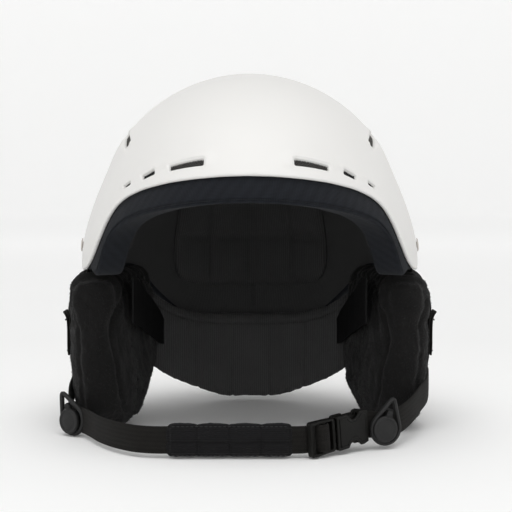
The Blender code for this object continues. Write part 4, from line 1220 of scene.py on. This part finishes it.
def chin_cushion():
    """The sleeve on the chin strap: two rows of four stuffed cells between sewn seams."""
    x0, x1, z0, z1, y0 = -0.0485, 0.0255, 0.0006, 0.0212, -0.1272
    bm = bmesh.new()
    bmesh.ops.create_cube(bm, size=1.0)
    bmesh.ops.scale(bm, vec=(x1 - x0, 0.0066, z1 - z0), verts=bm.verts)
    bmesh.ops.translate(bm, vec=((x0 + x1) / 2, y0, (z0 + z1) / 2), verts=bm.verts)
    bmesh.ops.bevel(bm, geom=bm.edges[:], offset=0.0018, segments=2, affect="EDGES")
    pad = from_bmesh(bm, "chin_cushion_pad", CHIN)
    inflate(pad, 0.0020, 4, 0.0010)
    sub = pad.modifiers.new("subdivide", "SUBSURF")
    sub.levels = sub.render_levels = 1
    apply_modifiers(pad)
    co, nn = get_points(pad), normals(pad)
    u = (co[:, 0] - x0) / (x1 - x0)
    v = (co[:, 2] - z0) / (z1 - z0)
    cell = np.abs(np.sin(u * 4 * pi))
    upright = np.exp(-(((u * 4 - np.round(u * 4)) * 0.0187 / 0.0009) ** 2))
    upright *= (np.round(u * 4) > 0) & (np.round(u * 4) < 4)
    level = np.exp(-(((v - 0.45) * 0.0206 / 0.0009) ** 2))
    border = np.exp(-(((v - 0.90) * 0.0206 / 0.0007) ** 2)) + np.exp(-(((v - 0.09) * 0.0206 / 0.0007) ** 2))
    border += np.exp(-((u * 0.074 - 0.0024) / 0.0008) ** 2) + np.exp(-(((1 - u) * 0.074 - 0.0024) / 0.0008) ** 2)
    face = np.clip(np.abs(nn[:, 1]) * 1.5, 0, 1)
    lower = np.where(v < 0.45, 1.0, 0.55)
    groove = np.clip(upright * lower + level * 0.9 + border * 0.55, 0, 1) * face
    puff = 0.0006 * cell * np.sin(np.clip(v, 0, 1) * pi) * face
    co = co + nn * (puff - 0.0013 * groove + 0.00016 * cloud(co, 0.006, 6.0))[:, None]
    # the top edge rises into four shallow lobes
    co[:, 2] += 0.0010 * (cell**0.6 - 1) * smooth01((v - 0.55) / 0.45)
    thin = np.minimum(np.clip(u / 0.045, 0, 1), np.clip((1 - u) / 0.045, 0, 1))
    co[:, 1] = y0 + (co[:, 1] - y0) * (0.55 + 0.45 * smooth01(thin))
    co[:, 2] = np.clip(co[:, 2], 0.0003, 0.0222)
    set_points(pad, co)
    set_uv(pad, np.stack([co[:, 2], co[:, 0]], 1))
    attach(pad, "chin_cushion")
    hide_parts("chin_pad")
    for name, z in (("low", 0.0024), ("high", 0.0192)):
        line = [(x, -0.13075, z) for x in np.linspace(x0 + 0.003, x1 - 0.003, 60)]
        thread = stitch_line(f"chin_stitches_{name}", line, (0, -1, 0), THREAD, 0.0019, 0.0008, 0.0002)
        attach(thread, "chin_cushion")


# ---------------------------------------------------------------- straps

STRAP_W, STRAP_Z = 0.016, 0.0108
FRONT_Y = -0.020


FRONT_LINE = smooth_line([(FRONT_Y, z, 0) for z in (0.127, 0.115, 0.106, 0.1005, 0.096, 0.092, 0.088, 0.083, 0.078,
                                                    0.071, 0.065, 0.057, 0.050, 0.042, 0.035, 0.027, 0.0185)], 3)  # fmt: skip
REAR_LINE = smooth_line([(0.050, 0.126, 0), (0.050, 0.113, 0), (0.0498, 0.102, 0), (0.0470, 0.090, 0), (0.0405, 0.076, 0),
                         (0.0310, 0.061, 0), (0.0200, 0.047, 0), (0.0080, 0.036, 0), (-0.0040, 0.0285, 0),
                         (-0.0100, 0.0260, 0)], 5)  # fmt: skip


def front_reach(y, z):
    inside = dome_x(y, z, 0.0042)
    if z >= 0.1005:
        return inside
    stops_z = (0.0185, 0.027, 0.036, 0.050, 0.065, 0.078, 0.088, 0.096, 0.1005)
    stops_x = (0.1110, 0.1122, 0.1138, 0.1160, 0.1168, 0.1175, 0.1135, 0.1090, 0.1063)
    x = float(np.interp(z, stops_z, stops_x))
    return x - 0.25 * (y - FRONT_Y) ** 2 * float(ramp(z, 0.08, 0.10)) / 0.008


def rear_reach(y, z):
    inside = dome_x(y, z, 0.0042)
    if z >= 0.100:
        return inside
    hanging = dome_x(y, 0.100, 0.0042) + 0.40 * max(0.0, 0.0975 - z)
    return max(ear_surface(y, z) + 0.0014, min(hanging, 0.1000))


def side_straps():
    across = np.array([-0.5, -0.46, -0.33, -0.17, 0, 0.17, 0.33, 0.46, 0.5]) * STRAP_W
    for side, tag in ((-1, "l"), (1, "r")):
        for kind, line, reach in (("front", FRONT_LINE, front_reach), ("rear", REAR_LINE, rear_reach)):
            line2 = np.array([(p.x, p.y) for p in line])
            way = np.gradient(line2, axis=0)
            way /= np.linalg.norm(way, axis=1)[:, None]
            rows = []
            for k, ((y, z), (wy, wz)) in enumerate(zip(line2, way)):
                row = []
                for c in across:
                    py, pz = y - wz * c, z + wy * c
                    curl = 0.0005 * (c / 0.008) ** 2
                    wave = 0.0005 * sin(k * 0.35 + (1 if kind == "front" else 2)) * (z < 0.09)
                    row.append((side * (reach(py, pz) + wave - curl * (z < 0.09)), py, pz))
                rows.append(row)
            rows = np.array(rows)
            for _ in range(4):
                rows[1:-1] = rows[1:-1] * 0.5 + (rows[:-2] + rows[2:]) * 0.25
            ob = strap_sheet(f"{kind}_webbing_{tag}", rows, 0.0015)
            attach(ob, "helmet")
            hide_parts(f"{kind}_strap_{tag}")
            if kind == "front":
                # doubled webbing, held by two bar tacks, where the strap is folded back on itself
                keep = (line2[:, 1] < 0.077) & (line2[:, 1] > 0.047)
                second = rows[keep].copy()
                loop = np.exp(-(((second[:, :, 2] - 0.0770) / 0.0034) ** 2))
                second[:, :, 0] += side * (0.0016 + 0.0024 * loop)
                layer = strap_sheet(f"strap_double_{tag}", second, 0.0014)
                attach(layer, "helmet")
                for where, z in (("high", 0.0700), ("low", 0.0500)):
                    x = side * (front_reach(FRONT_Y, z) + 0.0023)
                    ys = np.linspace(FRONT_Y - 0.006, FRONT_Y + 0.006, 30)
                    rowline = [(x, y, z + 0.0006 * sin(y * 9000)) for y in ys]
                    tack = stitch_line(f"bar_tack_{where}_{tag}", rowline, (side, 0, 0), THREAD, 0.0013, 0.0002, 0.0002)
                    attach(tack, "helmet")


def buckle_frame():
    turn, tip = radians(41), radians(5.4)
    pull = -Vector((cos(turn) * cos(tip), sin(turn) * cos(tip), sin(tip)))
    up = (Vector((0, 0, 1)) - pull * pull.z).normalized()
    return frame_matrix((0.0512, -0.1167, 0.0130), pull, up, pull.cross(up))


BUCKLE = buckle_frame()
BUCKLE_UP = Vector(BUCKLE.col[1][:3])


def buckle_point(x, out, up=0.0):
    return BUCKLE @ Vector((x, up, -out))


FOLD = Vector((-0.1156, -0.0140, STRAP_Z))


def chin_straps():
    z = STRAP_Z
    short = smooth_line(
        [(0.1150, -0.0080, 0.0325), (0.1158, -0.0220, 0.0300), (0.1125, -0.0410, 0.0262), (0.1068, -0.0570, 0.0235),
         (0.1015, -0.0705, 0.0205), (0.0960, -0.0810, 0.0178), (0.0905, -0.0890, 0.0158), (0.0850, -0.0934, 0.0146),
         (0.0794, -0.0963, 0.0141), (0.0750, -0.0980, 0.0145), (0.0714, -0.0995, 0.0151)], 5,
    )  # fmt: skip
    short += [buckle_point(x, 0) for x in (-0.0240, -0.0225, -0.0210, -0.0195)]
    ob = flat_ribbon("short_webbing", short)
    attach(ob, "helmet")
    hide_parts("chin_strap_short")
    near = smooth_line(
        [(FOLD.x, FOLD.y, 0.0256), (-0.1162, -0.0300, 0.0200), (-0.1143, -0.0447, 0.0136), (-0.1092, -0.0533, z),
         (-0.1041, -0.0619, z), (-0.0980, -0.0745, z), (-0.0905, -0.0920, z), (-0.0800, -0.1090, z),
         (-0.0680, -0.1215, z), (-0.0580, -0.1262, z), (-0.0500, -0.1272, z)], 5,
    )  # fmt: skip
    pad = [Vector((x, -0.1272, z)) for x in np.linspace(-0.047, 0.0275, 22)]
    turn = [Vector((0.0305, -0.1272, 0.0109)), Vector((0.0335, -0.1270, 0.0111)), Vector((0.0358, -0.1265, 0.0113))]
    ladder = smooth_line([buckle_point(x, out) for x, out in
              ((0.0166, -0.0026), (0.0160, 0.0), (0.0152, 0.0020), (0.0138, 0.0034), (0.0119, 0.0038),
               (0.0100, 0.0034), (0.0086, 0.0020), (0.0077, 0.0), (0.0066, -0.0026), (0.0045, -0.0048),
               (-0.0040, -0.0060), (-0.0180, -0.0062))], 4)  # fmt: skip
    line = [*near, *pad, *turn, *ladder]
    across = []
    for p in line:
        k = float(smooth01((p.x - 0.0275) / 0.010))
        across.append(tuple(Vector((0, 0, 1)).lerp(BUCKLE_UP, k)))
    ob = flat_ribbon("long_webbing", line, across=np.array(across))
    tuple(line[0])
    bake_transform(ob)
    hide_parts("chin_strap_long")


# ---------------------------------------------------------------- strap locks

LOCK_R, LOCK_TIP, LOCK_PIN = 0.0104, 0.0222, 0.0102


def lock_frames():
    spots = {
        "r": (Vector((0.0815, -0.0992, 0.0124)), Vector((0.38, -0.925, 0.0)), radians(16)),
        "l": (Vector((-0.1110, -0.0572, 0.0106)), Vector((-0.62, -0.785, 0.0)), radians(-30)),
    }
    for tag, (at, out, lean) in spots.items():
        out.normalize()
        along = Vector((-out.y, out.x, 0.0))
        up = Vector((0, 0, 1)) * cos(lean) + along * sin(lean)
        yield tag, frame_matrix(at, up.cross(out), up, out)


def drop_outline(radius, tip, n=30, soft=0.0062):
    reach = acos(radius / tip)
    start, end = pi / 2 + reach, pi / 2 - reach + 2 * pi
    turns = [start + (end - start) * k / n for k in range(n + 1)]
    pts = [(radius * cos(t), radius * sin(t)) for t in turns]
    p, q = Vector(pts[-1]), Vector(pts[0])
    top = Vector((0.0, tip))
    straight = [tuple(p.lerp(top, t)) for t in np.linspace(0.1, 1 - soft / (top - p).length, 8)]
    back = [tuple(top.lerp(q, t)) for t in np.linspace(soft / (top - p).length, 0.9, 8)]
    last, first = Vector(straight[-1]), Vector(back[0])
    nose = [tuple(last * (1 - t) ** 2 + top * 2 * t * (1 - t) + first * t**2) for t in (0.25, 0.5, 0.75)]
    return [*pts, *straight, *nose, *back]


def strap_locks():
    for tag, m in lock_frames():
        body = "chin_strap" if tag == "l" else "helmet"
        drop = offset(drop_outline(LOCK_R, LOCK_TIP), -0.0013)
        ring = loop_tube(f"lock_ring_{tag}", drop, 0.0013, 0.0017, m, LOCK_PLASTIC, 14)
        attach(ring, body)
        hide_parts(f"strap_lock_frame_{tag}")
        r = 0.0080
        lip = [(0, -0.0004), (r - 0.0012, -0.0004), (r - 0.0003, 0.0), (r, 0.0008), (r, 0.0019), (r - 0.0003, 0.0024),
               (r - 0.0010, 0.0026), (r - 0.0016, 0.0025), (r - 0.0020, 0.0022), (r - 0.0026, 0.0023),
               (r * 0.5, 0.0027), (r * 0.2, 0.0028), (0, 0.0028)]  # fmt: skip
        shift = Matrix.Translation((-0.0013, -0.0004, 0.0010))
        cap = lathe(f"lock_disc_{tag}", lip, m @ shift, LOCK_PLASTIC, 64, 55)
        foot = [(0, -0.0014), (0.0055, -0.0014), (0.0060, -0.0008), (0.0060, 0.0012), (0, 0.0012)]
        stem = lathe(f"lock_stem_{tag}", foot, m, LOCK_PLASTIC, 40)
        end = LOCK_PIN + 0.0008
        tab = rounded([(-0.0028, 0.0040), (0.0028, 0.0040), (0.0017, end), (-0.0017, end)], 0.0009)
        lug = plate(f"lock_lug_{tag}", tab, [], 0.0022, m, LOCK_PLASTIC, 0.0003)
        for piece in (cap, stem, lug):
            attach(piece, f"lock_cap_{tag}")
        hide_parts(f"strap_lock_cap_{tag}")


# ---------------------------------------------------------------- buckle


def buckle():
    h = 0.0105
    bar = [(0.0026, -h + 0.0007), (0.0026, h - 0.0007), (0.0218, h), (0.0218, -h)]
    big = rounded(slab(0.0049, 0.0106, -0.0084, 0.0084), 0.0010)
    small = rounded(slab(0.0132, 0.0189, -0.0084, 0.0084), 0.0010)
    body = plate("ladder", rounded(bar, 0.0022, 7), [big, small], 0.0046, BUCKLE, BUCKLE_PLASTIC, 0.0007, 4)
    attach(body, "chin_strap")
    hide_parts("buckle_plug")
    pieces = []
    # grip ridges on the outer bar, and the tongue
    for k, x in enumerate((0.0196, 0.0205)):
        ridge = rounded(slab(x, x + 0.0005, -0.0086, 0.0086), 0.0002, 2)
        pieces.append(plate(f"ladder_ridge_{k}", ridge, [], 0.0054, BUCKLE, BUCKLE_PLASTIC, 0.0002, 2))
    tip = [(0.0030, -0.0023), (0.0030, 0.0023), (-0.0140, 0.0019), (-0.0150, 0.0), (-0.0140, -0.0019)]
    pieces.append(plate("tongue", rounded(tip, 0.0010), [], 0.0024, BUCKLE, BUCKLE_PLASTIC, 0.0004))
    for piece in pieces:
        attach(piece, "chin_strap")

    for up, tag in ((1, "upper"), (-1, "lower")):
        arm = [(0.0026, 0.0052), (0.0026, 0.0078), (-0.0060, 0.0076), (-0.0076, 0.0080), (-0.0105, 0.0083),
               (-0.0146, 0.0080), (-0.0158, 0.0066), (-0.0146, 0.0055), (-0.0060, 0.0056)]  # fmt: skip
        arm = rounded([(x, y * up) for x, y in arm], 0.0008)
        prong = plate(f"prong_blade_{tag}", arm, [], 0.0028, BUCKLE, BUCKLE_PLASTIC, 0.0004)
        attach(prong, f"prong_{tag}")
        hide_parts(f"buckle_prong_{tag}")

    # the socket: two shells over the cavity, waisted at the press tabs, flared where the webbing enters
    def side_line(up):
        pts = [(0.0023, h - 0.0010), (0.0013, h - 0.0002), (-0.0058, h - 0.0003)]
        for k in range(11):
            t = k / 10
            x = -0.0068 - 0.0092 * t
            pts.append((x, h - 0.0006 - 0.0034 * sin(pi * t) ** 0.7))
        pts += [(-0.0168, h - 0.0002), (-0.0190, h - 0.0001), (-0.0228, h - 0.0012)]
        return [(x, y * up) for x, y in pts]

    outline = side_line(1) + side_line(-1)[::-1]
    for tag, level in (("front", -1), ("back", 1)):
        m = BUCKLE @ Matrix.Translation((0, 0, level * 0.0029))
        half = plate(f"socket_{tag}", outline, [], 0.0015, m, BUCKLE_PLASTIC, 0.0006, 4)
        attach(half, "helmet")
        if tag == "front":
            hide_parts("buckle_socket")
    rails = []
    for up in (1, -1):
        for k, (a, b) in enumerate(((-0.0056, 0.0018), (-0.0218, -0.0168))):
            y0, y1 = (0.0086, h - 0.0004) if k == 0 else (0.0084, h - 0.0009)
            box = rounded(slab(a, b, y0 * up, y1 * up), 0.0006, 3)
            name = f"socket_wall_{'u' if up > 0 else 'd'}{k}"
            rails.append(plate(name, box, [], 0.0064, BUCKLE, BUCKLE_PLASTIC, 0.0001, 1))
    for k, (x, level) in enumerate(((-0.0176, 0.0020), (-0.0222, -0.0020))):
        bar = rounded(slab(x, x + 0.0012, -0.0090, 0.0090), 0.0004, 2)
        m = BUCKLE @ Matrix.Translation((0, 0, level))
        rails.append(plate(f"socket_bar_{k}", bar, [], 0.0024, m, BUCKLE_PLASTIC, 0.0003))
    # a shallow rib frames the front plate
    m = BUCKLE @ Matrix.Translation((0, 0, -0.00365))
    rails.append(loop_tube("socket_rim", offset(outline, -0.0020), 0.0003, 0.0003, m, BUCKLE_PLASTIC, 8))
    for piece in rails:
        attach(piece, "helmet")


# ---------------------------------------------------------------- carried-over nodes


def dress_nodes():
    """CAD nodes whose shape is right keep it: softened edges and their own moulded finish."""
    looks = {
        "strap_rivet": (RIVET, 0.00025), "ear_snap": (LOCK_PLASTIC, 0.0002), "strap_lock_pin": (LOCK_PLASTIC, 0.0001),
        "fit_band": (BAND_PLASTIC, 0.0003), "fit_housing": (BAND_PLASTIC, 0.0003), "fit_dial_screw": (STEEL, 0.00015),
        "fit_dial": (LOCK_PLASTIC, 0.00025), "fit_pinion": (BAND_PLASTIC, 0.0002), "goggle_clip_pin": (STEEL, 0.0001),
        "goggle_clip": (LOCK_PLASTIC, 0.0003),
    }  # fmt: skip
    for name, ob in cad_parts.items():
        if ob.hide_render:
            continue
        found = [key for key in looks if name.startswith(key)]
        mat, width = looks[max(found, key=len)]
        for slot in ob.material_slots:
            slot.link = "OBJECT"
            slot.material = mat
        weld = ob.modifiers.new("weld", "WELD")
        weld.merge_threshold = 1e-6
        bevel = ob.modifiers.new("bevel", "BEVEL")
        bevel.width = width
        bevel.segments = 2
        bevel.limit_method = "ANGLE"
        bevel.angle_limit = radians(38)
        bevel.harden_normals = False
        smooth = ob.modifiers.new("normals", "WEIGHTED_NORMAL")
        smooth.keep_sharp = True


# ---------------------------------------------------------------- floor, light and camera


def studio():
    world = bpy.data.worlds.new("studio")
    bpy.context.scene.world = world
    world.use_nodes = True
    world.node_tree.nodes["Background"].inputs["Color"].default_value = (1.0, 1.0, 1.0, 1)
    world.node_tree.nodes["Background"].inputs["Strength"].default_value = 0.48

    profile = [(0.0, 0.0), (0.4, 0.0), (1.2, 0.0), (2.6, 0.0), (4.6, 0.0)]
    profile += [(4.6 + 1.4 * sin(t), 1.4 - 1.4 * cos(t)) for t in np.linspace(0.1, pi / 2, 20)]
    profile.append((6.0, 2.6))
    turns = 96
    angles = [2 * pi * k / turns for k in range(turns)]
    points = [(0, 0, 0)] + [(r * sin(t), r * cos(t), z) for r, z in profile[1:] for t in angles]
    faces = [(0, 1 + (k + 1) % turns, 1 + k) for k in range(turns)]
    faces += [tuple(1 + v for v in f) for f in ring_sheet(len(profile) - 1, turns)]
    m = Nodes("studio_paper", (0.90, 0.90, 0.895), 0.95, specular=0.05)
    m.tint(m.noise(m.coords(), 3, 2), 0.995, 1.005)
    m.set("Emission Color", (1, 1, 1, 1))
    x, y, _ = m.axes(m.coords())
    far = m.math("SQRT", m.math("ADD", m.math("MULTIPLY", x, x), m.math("MULTIPLY", y, y)))
    m.link(m.spread(far, 0.5, 2.4, 0.02, 0.27), m.bsdf.inputs["Emission Strength"])
    paper = mesh_object("studio_paper", points, faces, m.mat)

    def area(name, at, target, size, power):
        light = bpy.data.lights.new(name, "AREA")
        light.shape = "RECTANGLE"
        light.size, light.size_y = size
        light.energy = power
        ob = bpy.data.objects.new(name, light)
        bpy.context.scene.collection.objects.link(ob)
        ob.location = at
        ob.rotation_mode = "QUATERNION"
        ob.rotation_quaternion = (Vector(target) - Vector(at)).to_track_quat("-Z", "Y")

    area("top", (0.0, -0.7, 2.6), (0, -0.05, 0.0), (2.4, 2.4), 42)
    area("front", (0.0, -2.4, 1.1), (0, 0, 0.12), (2.2, 1.2), 9)

    camera = bpy.data.cameras.new("camera")
    camera.sensor_width, camera.lens = 36, 99.7
    camera.clip_start, camera.clip_end = 0.05, 50
    ob = bpy.data.objects.new("camera", camera)
    bpy.context.scene.collection.objects.link(ob)
    ob.location = (0.004, -0.94, 0.165)
    ob.rotation_euler = (radians(90 - 3.35), 0, 0)
    bpy.context.scene.camera = ob
    bpy.context.scene.view_settings.view_transform = "Standard"
    bpy.context.scene.view_settings.look = "None"


# ---------------------------------------------------------------- all of it

THREAD = moulded("sewing_thread", (0.030, 0.030, 0.031), 0.7, 5000, 0.3)

studio()
outer_shell()
vent_nets()
liner()
lining_patch("brow_lining", "brow_pad", -44, 44, 52.5, 63, 0.0060, (4, 1), 120, 30)
lining_patch("side_lining_l", "side_pad_l", -108, -66, 58, 88, 0.0070, (2, 1))
lining_patch("side_lining_r", "side_pad_r", 66, 108, 58, 88, 0.0070, (2, 1))
lining_patch("rear_lining", "rear_pad", 140, 220, 62, 104, 0.0070, (4, 2), 130, 60)
crown_patch()
ear_pads()
nape_cushion()
chin_cushion()
side_straps()
chin_straps()
strap_locks()
buckle()
dress_nodes()
